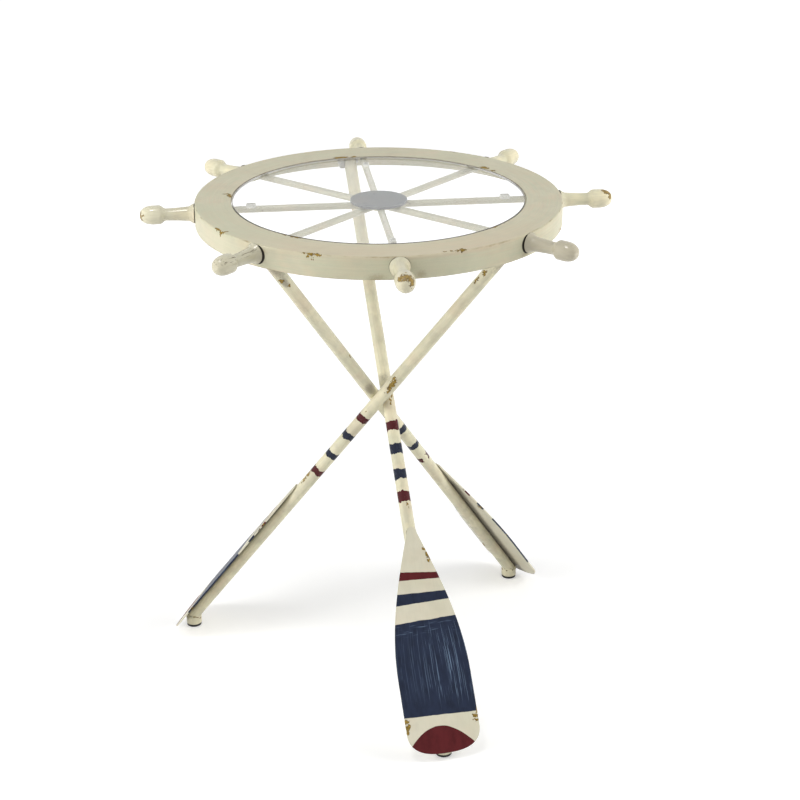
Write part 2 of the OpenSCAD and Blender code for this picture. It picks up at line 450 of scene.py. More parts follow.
inkTones = {
    "rimCream": (201, 196, 170),
    "palePatch": (210, 206, 182),
    "greyPatch": (188, 184, 163),
    "rosePatch": (207, 190, 164),
    "greenPatch": (192, 195, 168),
    # painted shade on single handles
    "shadePatch": (178, 171, 151),
    # a dark joint with painted shade round the handles' flanges
    "jointShade": (50, 46, 42),
    # painted shade: the hub and its side under the glass, and the lugs in the rim's shadow
    "hubShadedGrey": (146, 149, 154),
    "lugShadedGrey": (168, 165, 160),
    "hubSideShade": (104, 104, 104),
    "oarCream": (228, 221, 191),
    "bladeCream": (217, 212, 192),
    "handleCream": (233, 224, 190),
    "maroon": (89, 32, 35),
    "darkMaroon": (75, 25, 28),
    "navy": (38, 46, 66),
    "darkNavy": (30, 36, 52),
    "brushedNavy": (120, 142, 168),
    "gold": (164, 136, 66),
    "olive": (122, 100, 46),
    "rust": (66, 48, 28),
    "tan": (140, 120, 84),
    # grime and painted shade along the oars' joints, below the rim and beside the glass
    "grimeAndShade": (88, 80, 78),
}
ink = {name: linear(*tone) for name, tone in inkTones.items()}
creamLayers = [
    # tone, strength, a row for its patches, and whether they are brush streaks, drawn out along the piece
    ("palePatch", 0.5, (0.05, 3, 0, 0.38, 0.64), False),
    ("rosePatch", 0.5, (0.045, 2, 1, 0.46, 0.66), False),
    ("greenPatch", 0.4, (0.045, 2, 2, 0.48, 0.68), False),
    ("greyPatch", 0.34, (0.0018, 2, 3, 0.42, 0.78), True),
    ("greyPatch", 0.4, (0.018, 2, 7, 0.46, 0.7), False),
]
wearLook = {
    "edge": 0.0004,  # how soft a painted line is
    "roughness": 0.3,
    "unevenSheen": 0.2,
    "sheen": (0.012, 3, 13),
    "dullChips": 0.2,  # how much rougher bare metal is
    "bareFrom": (0, 0.08),  # depths inside a spot over which the paint ends
    "goldFrom": (0.06, 0.3),  # and over which its dark rim does
    "blotches": (0.0024, 3, 11, 0.36, 0.62),  # olive in the gold
    "rimShade": (0.0036, 2, 12, 0.3, 0.5),  # rust in the olive rim
    "ripple": (0.0016, 2, 17),
    "rippleHeight": 0.1,
    "waves": (0.011, 2, 19),
    "waveHeight": 0.3,
    "relief": (0.5, 0.00025),  # the bump's strength and a chip's depth
    "spotPush": (0.0022, 0.0045),  # how far a spot's outline wanders, and in features of what size
    "spotGrain": (0.0022, 3, 1),
    "darkeningGrain": (0.0022, 4, 43),
    "darkeningUnevenness": 1.05,
    "darkeningFrom": (0.1, 0.9),
    "fleckPatches": (0.05, 1, 23, 0.52, 0.72),  # where the flecks gather
    "flecks": (0.0036, 4, 29),
    "fleckLevel": 0.9,
    "fleckSharpness": 5,
}


def creamColour(tree, place, base, seed, stretch=(1, 1, 1)):
    colour = ink[base]
    for tone, strength, row, drawnOut in creamLayers:
        amount = patches(tree, place, seed, *row, stretch if drawnOut else (1, 1, 1))
        colour = layInk(tree, colour, tone, amount, strength)
    return colour


# darkens a colour where amount is above 0, unevenly: soft patches on the rim, grime with painted shade on the
# oars
def darkenUnevenly(tree, place, colour, amount, seed, tone, strength):
    speckle = noise(tree, place, seed, *wearLook["darkeningGrain"])
    uneven = wandering(tree, amount, speckle, wearLook["darkeningUnevenness"])
    return layInk(tree, colour, tone, smoothStep(tree, uneven, *wearLook["darkeningFrom"]), strength)


# how far inside ragged spots a point lies: 1 in a spot's middle, 0 on its edge; a spot is (middle, half size)
def spotDepth(tree, place, spots, seed, ragged=2.0):
    pushed = pushAbout(tree, place, seed, *wearLook["spotPush"])
    nearest = None
    for middle, size in spots:
        reach = eggReach(tree, pushed, middle, size)
        nearest = reach if nearest is None else calculate(tree, "MINIMUM", nearest, reach)
    grain = noise(tree, place, seed, *wearLook["spotGrain"])
    return minus(tree, scaled(tree, grain, ragged, 1 - ragged / 2), nearest)


# small chips scattered over a surface, in a few patches
def scatteredDepth(tree, place, seed, amount):
    gathered = patches(tree, place, seed, *wearLook["fleckPatches"])
    flecks = noise(tree, place, seed, *wearLook["flecks"])
    needed = scaled(tree, gathered, -amount, wearLook["fleckLevel"])
    return times(tree, minus(tree, flecks, needed), wearLook["fleckSharpness"])


# joins a paint colour with its chips; depth is above 0 where the paint is gone
def wearPaint(tree, shader, place, colour, depth, seed, gloss=0.0, mirror=0.5):
    bare = smoothStep(tree, depth, *wearLook["bareFrom"])
    rim = mixColours(tree, patches(tree, place, seed, *wearLook["rimShade"]), ink["olive"], ink["rust"])
    gold = mixColours(tree, patches(tree, place, seed, *wearLook["blotches"]), ink["gold"], ink["olive"])
    chip = mixColours(tree, smoothStep(tree, depth, *wearLook["goldFrom"]), rim, gold)
    uneven = wearLook["unevenSheen"]
    plain = wearLook["roughness"] - uneven / 2 - gloss
    sheen = scaled(tree, noise(tree, place, seed, *wearLook["sheen"]), uneven, plain)
    ripple = times(tree, noise(tree, place, seed, *wearLook["ripple"]), wearLook["rippleHeight"])
    waves = scaled(tree, noise(tree, place, seed, *wearLook["waves"]), wearLook["waveHeight"], ripple)
    fillInputs(tree, shader, {
        "Base Color": mixColours(tree, bare, colour, chip),
        "Roughness": scaled(tree, bare, wearLook["dullChips"], sheen),
        "Specular IOR Level": mirror,
        "Normal": bump(tree, minus(tree, waves, bare), *wearLook["relief"]),
    })


def plainCream(name, seed, base="oarCream", stretch=(1, 1, 14), scatter=0.2):
    material, tree, shader = newMaterial(name)
    own = ownPlace(tree)
    colour = creamColour(tree, own, base, seed, stretch)
    wearPaint(tree, shader, own, colour, scatteredDepth(tree, objectPlace(tree), seed, scatter), seed)
    return material


# the wheel's rim: one folded and welded shell of sheet steel

plateLow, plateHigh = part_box("rim_plate")
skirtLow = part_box("rim_skirt")[0]
lipLow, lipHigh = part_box("rim_lip")
rimRadius = plateHigh.x
tableHeight = plateHigh.z
sheet = plateHigh.z - plateLow.z
openingRadius = lipHigh.x - sheet
spokeLow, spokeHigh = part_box("spoke_1")
spokeHeight = (spokeLow.z + spokeHigh.z) / 2
spokeCount = 8

rimSizes = {
    "foldRadius": 0.002,  # of the outer top edge
    "innerRadius": 0.0011,  # of the edge round the glass
    "cutRadius": 0.0006,  # of the sheet's free edges
    "support": 0.0007,  # how far past a rounding the flat face starts
    "sides": 288,
}
rimWear = {
    # azimuth in degrees, radius, height; half size along the rim, across, up
    "spots": [
        ((-152.6, 0.2240, 0.6350), (0.0085, 0.0022, 0.0020)),
        ((-150.4, 0.2248, 0.6336), (0.0034, 0.0016, 0.0026)),
        ((-149.2, 0.2216, 0.6350), (0.0018, 0.0034, 0.0020)),
        ((-151.0, 0.2250, 0.6300), (0.0012, 0.0010, 0.0030)),
        ((-115.6, 0.2246, 0.6346), (0.0140, 0.0020, 0.0014)),
        ((-114.0, 0.2250, 0.6334), (0.0060, 0.0012, 0.0016)),
        ((-115.4, 0.2250, 0.6306), (0.0011, 0.0010, 0.0040)),
        ((-117.0, 0.2250, 0.6316), (0.0008, 0.0010, 0.0022)),
        ((-71.4, 0.2222, 0.6350), (0.0076, 0.0034, 0.0020)),
        ((-74.2, 0.2214, 0.6350), (0.0026, 0.0026, 0.0020)),
        ((-76.2, 0.2210, 0.6350), (0.0026, 0.0024, 0.0020)),
        ((170.6, 0.1838, 0.6350), (0.0074, 0.0036, 0.0020)),
        ((169.2, 0.1876, 0.6350), (0.0022, 0.0050, 0.0020)),
        ((172.6, 0.1822, 0.6350), (0.0060, 0.0020, 0.0020)),
        ((-128.4, 0.1808, 0.6349), (0.0120, 0.0024, 0.0024)),
        ((-132.6, 0.1808, 0.6349), (0.0044, 0.0022, 0.0024)),
        ((99.8, 0.1822, 0.6350), (0.0125, 0.0038, 0.0020)),
        ((94.4, 0.1816, 0.6350), (0.0062, 0.0030, 0.0020)),
        ((36.4, 0.1850, 0.6350), (0.0095, 0.0044, 0.0020)),
        ((31.0, 0.1838, 0.6350), (0.0044, 0.0030, 0.0020)),
        ((-47.6, 0.1808, 0.6349), (0.0080, 0.0022, 0.0024)),
        ((58.0, 0.2246, 0.6346), (0.0080, 0.0020, 0.0020)),
        ((118.0, 0.2247, 0.6346), (0.0100, 0.0020, 0.0022)),
        ((75.0, 0.2250, 0.6084), (0.0120, 0.0015, 0.0024)),
        ((-20.0, 0.2250, 0.6082), (0.0060, 0.0015, 0.0016)),
        ((150.0, 0.2250, 0.6082), (0.0090, 0.0015, 0.0022)),
    ],
    # the same for soft tan darkenings near the front handles
    "darkPatches": [
        ((-96.5, 0.2250, 0.6100), (0.0170, 0.0040, 0.0080)),
        ((-84.0, 0.2250, 0.6120), (0.0100, 0.0040, 0.0090)),
        ((-132.0, 0.2250, 0.6280), (0.0100, 0.0040, 0.0060)),
        ((-47.0, 0.2250, 0.6120), (0.0140, 0.0040, 0.0090)),
    ],
    "darkPatchStrength": 0.4,
    # wide zones with a tint: middle, half size, tint and strength
    "tints": [
        ((-88.0, 0.2100, 0.6350), (0.2600, 0.0300, 0.0060), "rosePatch", 0.4),
        ((-170.0, 0.2100, 0.6350), (0.2000, 0.0400, 0.0060), "greenPatch", 0.3),
        ((-86.0, 0.2250, 0.6180), (0.1600, 0.0100, 0.0150), "greenPatch", 0.3),
        ((-158.0, 0.2250, 0.6180), (0.1200, 0.0100, 0.0150), "palePatch", 0.4),
    ],
    "tintFade": (1.1, 0.5),
    # brush streaks along the rim: tone and a row for them
    "streaks": [
        ("greyPatch", (0.0014, 2, 5, 0.46, 0.78, (28, 1, 1))),
        ("palePatch", (0.0022, 2, 6, 0.46, 0.78, (28, 1, 1))),
        ("rosePatch", (0.0026, 2, 7, 0.46, 0.78, (28, 1, 1))),
        ("greenPatch", (0.0028, 2, 8, 0.46, 0.78, (28, 1, 1))),
    ],
    "streaking": 0.5,
    "rubWidth": 0.0026,  # of the worn edge at the fold
    "rubShares": (1, 0.8, 0.7),  # of that width at the fold, beside the glass and at the skirt's lower edge
    "rubPlaces": (0.028, 3, 37),
    "rubGrain": (0.0022, 3, 41, (4, 1, 1)),
    "rubLevels": (2.4, 1.6, -2.45),  # what the places and the grain count for, and the level below
    "rubFade": 0.8,
    "rubbing": 0.64,
    "jointRadius": 0.0127,  # of the dark joint line with painted shade round each handle's flange
    "gapRadius": 0.0122,  # of the painted shadow in the gap beside the four diagonal flanges
    "gapShift": 0.0030,
    "jointEdge": 0.0005,
    "glassGap": 0.0016,  # how far down the shadow beside the glass reaches
    "glassGapFrom": (0.0008, 0.0003),  # and how far from the opening's wall it starts and is full
    "glassGapShade": 0.8,
    "skirtFrom": (0.0003, 0.0001),
    "finish": (-0.1, 0.12),  # gloss over the plain enamel's, and mirror level
}


def makeRim(sizes):
    fold, inner = sizes["foldRadius"], sizes["innerRadius"]
    cut, support = sizes["cutRadius"], sizes["support"]
    wall = rimRadius - sheet
    outline = arc(rimRadius - cut, skirtLow.z + cut, cut, -90, 0, 2)
    outline += [(rimRadius, skirtLow.z + cut + support), (rimRadius, tableHeight - fold - support)]
    outline += arc(rimRadius - fold, tableHeight - fold, fold, 0, 90, 6)
    outline += [(rimRadius - fold - support, tableHeight), (openingRadius + inner + support, tableHeight)]
    outline += arc(openingRadius + inner, tableHeight - inner, inner, 90, 180, 4)
    outline += arc(openingRadius + cut, lipLow.z + cut, cut, 180, 270, 2)
    outline += arc(openingRadius + sheet - cut, lipLow.z + cut, cut, 270, 360, 2)
    outline += [(openingRadius + sheet, plateLow.z), (wall, plateLow.z)]
    outline += arc(wall + cut, skirtLow.z + cut, cut, 180, 270, 2)
    outline += [outline[0]]
    return settle(spinShape("wheelRim", outline, sizes["sides"]))


# a spot's azimuth as a length along the rim
def alongRim(middle):
    degree, radius, height = middle
    return radians(degree) * rimRadius, radius, height


# the rim's places are measured along it, across it and up it
def rimPaint(wear, seed):
    material, tree, shader = newMaterial("rimPaint")
    place = objectPlace(tree)
    x, y, height = split(tree, place)
    angle = calculate(tree, "ARCTAN2", y, x)
    radius = vectorMath(tree, "LENGTH", combine(tree, x, y))
    bent = combine(tree, times(tree, angle, rimRadius), radius, height)
    colour = creamColour(tree, place, "rimCream", seed)
    for tone, row in wear["streaks"]:
        colour = layInk(tree, colour, tone, patches(tree, bent, seed, *row), wear["streaking"])
    for middle, size, tone, strength in wear["tints"]:
        colour = tintZone(tree, bent, colour, wear["tintFade"], alongRim(middle), size, tone, strength)
    # soft tan darkenings near the front handles
    for middle, size in wear["darkPatches"]:
        nearness = minus(tree, 1, eggReach(tree, bent, alongRim(middle), size))
        colour = darkenUnevenly(tree, bent, colour, nearness, seed + middle[0], "tan", wear["darkPatchStrength"])
    colour = layInk(tree, colour, "tan", rubbedEdges(tree, place, bent, wear, seed), wear["rubbing"])

    # the shadow in the gap beside the glass
    start, full = wear["glassGapFrom"]
    facing = smoothStep(tree, radius, openingRadius + start, openingRadius + full)
    shadow = smoothStep(tree, height, tableHeight - wear["glassGap"], tableHeight - wear["glassGap"] / 2)
    colour = layInk(tree, colour, "grimeAndShade", times(tree, facing, shadow), wear["glassGapShade"])
    # painted shade round the handles' flanges, on the skirt only
    start, full = wear["skirtFrom"]
    onSkirt = smoothStep(tree, radius, rimRadius - start, rimRadius - full)
    colour = layInk(tree, colour, "jointShade", times(tree, flangeGapShade(tree, angle, height, wear), onSkirt))
    spots = [(alongRim(middle), size) for middle, size in wear["spots"]]
    wearPaint(tree, shader, place, colour, spotDepth(tree, bent, spots, seed + 31), seed, *wear["finish"])
    return material


# where the fold, the edge round the glass and the skirt's lower edge are rubbed
def rubbedEdges(tree, place, bent, wear, seed):
    section = vectorMath(tree, "MULTIPLY", bent, (0, 1, 1))
    edges = ((rimRadius, tableHeight), (openingRadius, tableHeight), (rimRadius, skirtLow.z))
    depths = []
    for (radius, height), share in zip(edges, wear["rubShares"]):
        away = vectorMath(tree, "DISTANCE", section, (0, radius, height))
        depths.append(fading(tree, away, wear["rubWidth"] * share))
    where = noise(tree, place, seed, *wear["rubPlaces"])
    grain = noise(tree, bent, seed, *wear["rubGrain"])
    broad, fine, level = wear["rubLevels"]
    thin = scaled(tree, where, broad, scaled(tree, grain, fine, level))
    return smoothStep(tree, calculate(tree, "ADD", largest(tree, *depths), thin), 0, wear["rubFade"])


# painted shade: a dark joint line round each handle's flange, and a painted shadow in the gap beside the four
# diagonal ones
def flangeGapShade(tree, angle, height, wear):
    turn = calculate(tree, "WRAP", angle, pi / spokeCount, -pi / spokeCount)
    flat = combine(tree, times(tree, turn, rimRadius), height)
    slant = calculate(tree, "SINE", times(tree, angle, 2))
    shifted = combine(tree, times(tree, slant, wear["gapShift"]), spokeHeight)
    rings = []
    for middle, size in (((0, spokeHeight, 0), wear["jointRadius"]), (shifted, wear["gapRadius"])):
        away = vectorMath(tree, "DISTANCE", flat, middle)
        rings.append(smoothStep(tree, away, size, size - wear["jointEdge"]))
    return largest(tree, *rings)


# the glass

glassLow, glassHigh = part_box("glass_top")
glassSizes = {"edgeRadius": 0.0009, "support": 0.0006, "sides": 288}
glassLook = {
    "clean": (0.93, 0.935, 0.937, 1),
    # the ground edge's dark colour is painted shade of the gap beside the rim
    "ground": (0.4, 0.385, 0.35, 1),
    "dimmed": (0.87, 0.875, 0.883, 1),  # what light for the things below keeps
    "groundWidth": (0.0012, 0.0008),  # of the ground edge, to where it starts and is full
    "groundRoughness": 0.25,
    "groundMilk": 0.3,
    "smears": (0.06, 3, 0, 0.5, 0.8),
    "smearRoughness": 0.03,
    "bending": 1.15,  # index of refraction, low so that the top hardly mirrors
}


def makeGlass(sizes):
    outline = discOutline(glassLow, glassHigh, sizes["edgeRadius"], sizes["support"], 4)
    return settle(spinShape("glassTop", outline, sizes["sides"]))


# clear glass with a ground edge, whose dark colour is painted shade of the gap beside the rim; light for what
# lies below passes straight through, a little dimmed
def glassMaterial(radius, look, seed):
    material, tree, shader = newMaterial("clearGlass")
    place = objectPlace(tree)
    away = vectorMath(tree, "LENGTH", vectorMath(tree, "MULTIPLY", place, (1, 1, 0)))
    start, full = look["groundWidth"]
    ground = smoothStep(tree, away, radius - start, radius - full)
    smear = times(tree, patches(tree, place, seed, *look["smears"]), look["smearRoughness"])
    fillInputs(tree, shader, {
        "Base Color": mixColours(tree, ground, look["clean"], look["ground"]),
        "Roughness": scaled(tree, ground, look["groundRoughness"], smear),
        "Transmission Weight": scaled(tree, ground, -look["groundMilk"], 1),
        "IOR": look["bending"],
    })
    dim = addNode(tree, "BsdfTransparent", {"Color": look["dimmed"]})
    path = addNode(tree, "LightPath", {}).outputs
    straight = largest(tree, path["Is Shadow Ray"], path["Is Diffuse Ray"])
    mixed = addNode(tree, "MixShader", {0: straight, 1: shader.outputs[0], 2: dim.outputs[0]})
    tree.links.new(mixed.outputs[0], tree.nodes["Material Output"].inputs["Surface"])
    return material


# hub, boss, spokes and pads

hubLow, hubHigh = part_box("hub_disc")
bossLow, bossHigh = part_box("hub_boss")
wheelSizes = {
    "hubEdge": 0.0006,
    "hubSides": 144,
    "support": 0.0006,
    "bossEdge": 0.0008,
    "rodSides": 48,
    "studRadius": 0.0025,
    "studEdge": 0.0006,
    "beadRadius": 0.0058,  # weld where a spoke meets the rim
    "beadLength": 0.0028,
    "beadSupports": (0.001, 0.0002),  # before it and at its end
    "beadBulge": (0.35, 0.45),  # shares of its height and length at the bend
    "padSize": (0.012, 0.0075),  # along and across the spoke
    "padReach": 0.1563,  # from the wheel's axis to a pad's middle
    "padSeat": 0.001,  # a pad starts this far above the rod's middle
    "padEdge": 0.0013,
    "pads": 4,
}
hubLook = {"shadeGreying": 0.7, "scatter": 0.1, "sideFrom": (0.00002, 0.0003)}  # greying is painted shade under the glass; the last is below the top, where the painted shade on the side starts and is full


def makeHub(sizes):
    outline = discOutline(hubLow, hubHigh, sizes["hubEdge"], sizes["support"], 3)
    return settle(spinShape("hubDisc", outline, sizes["hubSides"]))


def makeBoss(sizes):
    deselectAll()
    height = bossHigh.z - bossLow.z
    bpy.ops.mesh.primitive_cylinder_add(
        vertices=spokeCount, radius=bossHigh.x / cos(pi / spokeCount), depth=height,
        location=(0, 0, bossLow.z + height / 2),
    )
    boss = startPiece("hubBoss")
    applyPlace()
    editAll()
    bpy.ops.transform.rotate(value=pi / spokeCount, orient_axis="Z", center_override=origin)
    leaveEdit()
    roundEdges(boss, sizes["bossEdge"], 2, 30)
    return settle(boss)


# a spoke lies along Z from the wheel's axis: rod, weld bead against the rim, then the stud inside the handle
def makeSpoke(sizes):
    radius = (spokeHigh.z - spokeLow.z) / 2
    wall = rimRadius - sheet
    bead, length = sizes["beadRadius"], sizes["beadLength"]
    up, along = sizes["beadBulge"]
    before, last = sizes["beadSupports"]
    start = wall - length
    outline = [(0, spokeLow.x), (radius, spokeLow.x), (radius, start - before), (radius, start)]
    outline += [(radius + (bead - radius) * up, start + length * along), (bead, wall - last), (bead, wall)]
    stud, edge, end = sizes["studRadius"], sizes["studEdge"], spokeHigh.x
    outline += [(stud, wall), (stud, end - edge), (stud - edge, end), (0, end)]
    return spinShape("spokeRod_1", outline, sizes["rodSides"])


def alongSpoke(number, reach=0.0):
    turned = Matrix.Rotation(2 * pi / spokeCount * (number - 1), 4, "Z")
    return turned @ Matrix.Translation((reach, 0, spokeHeight)) @ Matrix.Rotation(pi / 2, 4, "Y")


def makePads(sizes):
    pads = []
    bottom = spokeHeight + sizes["padSeat"]
    middle = (sizes["padReach"], 0, (bottom + glassLow.z) / 2)
    for index in range(sizes["pads"]):
        pad = addBox("pad", middle, (*sizes["padSize"], glassLow.z - bottom))
        roundEdges(pad, sizes["padEdge"], 3)
        pads.append(settle(pad, Matrix.Rotation(2 * pi / sizes["pads"] * index, 4, "Z")))
    return joinPieces(pads, "glassPads")


# painted shade: the hub's face under the glass is greyer than the rim, and its side is dark
def hubShadedPaint(look, seed):
    material, tree, shader = newMaterial("hubShadedPaint")
    place = objectPlace(tree)
    shadedGrey = mixColours(tree, look["shadeGreying"], creamColour(tree, place, "hubShadedGrey", seed), ink["hubShadedGrey"])
    start, full = look["sideFrom"]
    below = smoothStep(tree, split(tree, place)[2], hubHigh.z - start, hubHigh.z - full)
    colour = layInk(tree, shadedGrey, "hubSideShade", below)
    wearPaint(tree, shader, place, colour, scatteredDepth(tree, place, seed, look["scatter"]), seed)
    return material


# the turned handles

handleLow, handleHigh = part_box("handle_1")
handleSizes = {
    "length": handleHigh.x - rimRadius,
    "flange": (handleHigh.z - handleLow.z) / 2,
    "flangeHeight": 0.0012,
    "flangeEdge": 0.0004,
    "collar": 0.009,
    "flareLength": 0.0055,
    "flareBend": 1.15,
    "waist": 0.0075,
    "grip": 0.0116,
    "gripLength": 0.0235,
    "shoulderLength": 0.008,
    "domeLength": 0.016,
    "domeBend": 0.75,
    "bore": 0.0027,
    "boreDepth": 0.019,
    "sides": 72,
}
handleLook = {
    # where the paint has a tint: middle, half size, tone and strength; the dim tints are painted shade on
    # single handles
    "tints": [
        ((0.19, -0.19, 0.62), (0.07, 0.07, 0.05), "shadePatch", 0.85),
        ((-0.19, -0.19, 0.62), (0.07, 0.07, 0.05), "greyPatch", 0.7),
        ((-0.25, 0.00, 0.62), (0.03, 0.05, 0.05), "shadePatch", 0.5),
        ((-0.28, 0.00, 0.62), (0.03, 0.05, 0.05), "palePatch", 0.7),
        ((0.00, -0.26, 0.62), (0.05, 0.06, 0.05), "greyPatch", 0.45),
    ],
    "tintFade": (1.1, 0.6),
    "brush": (1, 1, 12),  # how much longer than wide the brush streaks are
    # where long scratches show the steel: middle and half size
    "scratched": ((-0.185, -0.190, 0.6320), (0.052, 0.052, 0.0090)),
    "scratchedFade": (1, 0.5),
    "scratches": (0.0014, 2, 15, 0.56, 0.66, (1, 1, 11)),
    "scratching": 0.8,
    "grain": (0.0009, 2, 5, 0.5, 0.8, (1, 1, 22)),
    "graining": 0.22,
    "joint": 0.0009,  # height of the dark joint line with painted shade behind the flange
    "jointFade": (0, 0.4),
    "scatter": 0.22,
    "finish": (0.09, 0.6),
}
handleSpots = [
    # left handle, tip
    ((-0.2900, -0.0036, 0.6215), (0.0030, 0.0050, 0.0066)),
    ((-0.2868, -0.0080, 0.6250), (0.0018, 0.0026, 0.0020)),
    # right handle, upper side near the tip
    ((0.2836, -0.0036, 0.6322), (0.0076, 0.0052, 0.0036)),
    ((0.2884, -0.0056, 0.6286), (0.0032, 0.0046, 0.0042)),
    # front handle, the large one
    ((0.0002, -0.2850, 0.6310), (0.0080, 0.0060, 0.0042)),
    ((0.0052, -0.2870, 0.6262), (0.0044, 0.0050, 0.0050)),
    ((0.0044, -0.2858, 0.6290), (0.0046, 0.0050, 0.0042)),
    ((-0.0058, -0.2840, 0.6300), (0.0040, 0.0050, 0.0040)),
    ((-0.0010, -0.2760, 0.6348), (0.0020, 0.0014, 0.0012)),
    # front-left handle, scratches along its top
    ((-0.1950, -0.2085, 0.6278), (0.0020, 0.0018, 0.0011)),
    ((-0.1848, -0.1938, 0.6292), (0.0022, 0.0024, 0.0013)),
    # back handle, tip
    ((0.0030, 0.2880, 0.6275), (0.0050, 0.0036, 0.0045)),
    # back-right handle, flange
    ((0.1620, 0.1560, 0.6335), (0.0030, 0.0030, 0.0018)),
    # front-right handle
    ((0.1835, -0.1862, 0.6288), (0.0018, 0.0010, 0.0010)),
    # back-left handle
    ((-0.1650, 0.1560, 0.6325), (0.0040, 0.0014, 0.0020)),
]


def between(first, last, part):
    return first + (last - first) * part


# even steps through a whole, up to 1
def evenParts(count):
    return [step / count for step in range(1, count + 1)]


def handleOutline(sizes):
    flange, flangeHeight, edge = sizes["flange"], sizes["flangeHeight"], sizes["flangeEdge"]
    collar, waist, grip = sizes["collar"], sizes["waist"], sizes["grip"]
    flare, rise, dome = sizes["flareLength"], sizes["shoulderLength"], sizes["domeLength"]
    flareEnd = flangeHeight + flare
    shoulder = sizes["length"] - sizes["gripLength"] - rise
    outline = [(0, sizes["boreDepth"]), (sizes["bore"], sizes["boreDepth"]), (sizes["bore"], 0)]
    outline += arc(flange - edge, edge, edge, -90, 0, 2)
    outline += arc(flange - edge, flangeHeight, edge, 0, 60, 2)
    for part in evenParts(6):
        height = flangeHeight + edge * (1 - part) + flare * part ** sizes["flareBend"]
        outline.append((between(flange, collar, part), height))
    for part in evenParts(8):
        outline.append((between(collar, waist, sin(part * pi / 2)), between(flareEnd, shoulder, part)))
    for part in evenParts(12):
        outline.append((between(waist, grip, (1 - cos(part * pi)) / 2), shoulder + rise * part))
    for part in [0] + evenParts(15)[:-1]:
        turn = part * pi / 2
        outline.append((grip * cos(turn) ** sizes["domeBend"], sizes["length"] - dome + dome * sin(turn)))
    return outline + [(0, sizes["length"])]


# worn spots, fine streaks along the handles and a dark joint with painted shade behind the flange
def handlePaint(look, seed):
    material, tree, shader = newMaterial("handlePaint")
    own = ownPlace(tree)
    place = objectPlace(tree)
    colour = creamColour(tree, own, "handleCream", seed, look["brush"])
    for tint in look["tints"]:
        colour = tintZone(tree, place, colour, look["tintFade"], *tint)
    colour = layInk(tree, colour, "tan", patches(tree, own, seed, *look["grain"]), look["graining"])
    near = smoothStep(tree, eggReach(tree, place, *look["scratched"]), *look["scratchedFade"])
    scratches = times(tree, patches(tree, own, seed, *look["scratches"]), near)
    colour = layInk(tree, colour, "rust", scratches, look["scratching"])
    # painted shade in the joint behind the flange
    seat = fading(tree, split(tree, own)[2], look["joint"])
    colour = layInk(tree, colour, "jointShade", smoothStep(tree, seat, *look["jointFade"]))
    depth = spotDepth(tree, place, handleSpots, seed + 31)
    depth = largest(tree, scatteredDepth(tree, place, seed, look["scatter"]), depth)
    wearPaint(tree, shader, own, colour, depth, seed, *look["finish"])
    return material


# the oars: shafts that cross, blades on their outer side, feet, lugs and fixings

shaftCount = 3
oarSizes = {
    "tubeRadius": 0.008,
    "tubeSides": 64,
    "bladeWidth": 0.0925,
    "bladeSheet": 0.002,
    "neckWidth": 0.013,
    "bladePast": {1: 0.013, 2: 0.018, 3: 0.015},  # how far each blade's tip reaches past its foot
    "roundLength": 0.031,
    "roundBend": 2.6,
    "bellyLength": 0.094,
    "neckLength": 0.275,
    "tangLength": 0.0015,
    "bladeEdge": 0.00045,
    "bladeColumns": 14,
}


# an oar's axes, its foot and its upper end
def oarFrame(number):
    postLow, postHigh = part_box(f"foot_post_{number}")
    shaftLow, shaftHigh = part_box(f"oar_shaft_{number}")
    foot = Vector(((postLow.x + postHigh.x) / 2, (postLow.y + postHigh.y) / 2, postHigh.z))
    # both ends of the tube are cut level, so its box is even about its middle
    top = shaftLow + shaftHigh - foot
    along = (top - foot).normalized()
    across = upward.cross(foot - top).normalized()
    return placeOf(foot, across.cross(along), across, along), foot, top


def makeShaft(number, sizes):
    place, foot, top = oarFrame(number)
    spare = 2 * sizes["tubeRadius"]
    length = (top - foot).length + 2 * spare
    deselectAll()
    bpy.ops.mesh.primitive_cylinder_add(
        vertices=sizes["tubeSides"], radius=sizes["tubeRadius"], depth=length,
        location=(0, 0, length / 2 - spare), end_fill_type="NOTHING",
    )
    shaft = startPiece(f"oarShaft_{number}")
    applyPlace()
    settle(shaft, place)
    for height, direction in ((top.z, 1), (foot.z, -1)):
        editAll()
        cut = {"plane_co": (0, 0, height), "plane_no": (0, 0, direction)}
        bpy.ops.mesh.bisect(**cut, use_fill=True, clear_outer=True)
    leaveEdit()
    smoothFaces()
    keepPlace(shaft, place)
    return shaft


# half the blade's width at a distance from its tip
def bladeHalf(reach, sizes):
    half, neck = sizes["bladeWidth"] / 2, sizes["neckWidth"] / 2
    if reach < sizes["roundLength"]:
        bend = sizes["roundBend"]
        return half * (1 - (1 - reach / sizes["roundLength"]) ** bend) ** (1 / bend)
    if reach < sizes["bellyLength"]:
        return half
    if reach < sizes["neckLength"]:
        part = (reach - sizes["bellyLength"]) / (sizes["neckLength"] - sizes["bellyLength"])
        return between(neck, half, cos(part * pi / 2))
    straight = sizes["neckLength"] + sizes["tangLength"]
    if reach < straight:
        return neck
    return sqrt(max(0, neck ** 2 - (reach - straight) ** 2))


# distances from the tip at which the blade's outline has points, from the tang down
def bladeStations(sizes):
    neck, tip, belly = sizes["neckWidth"] / 2, sizes["roundLength"], sizes["bellyLength"]
    end = sizes["neckLength"] + sizes["tangLength"] + neck
    stations = [end - neck * (1 - cos(radians(angle))) for angle in (12, 30, 48, 66, 90)]
    stations += [between(sizes["neckLength"], belly, part) for part in [0] + evenParts(36)]
    stations += [between(belly, tip, part) for part in evenParts(4)[:-1]]
    turns = [radians(angle) for angle in (*range(90, 0, -5), 2, 0)]
    stations += [tip * (1 - cos(turn) ** (2 / sizes["roundBend"])) for turn in turns]
    return stations


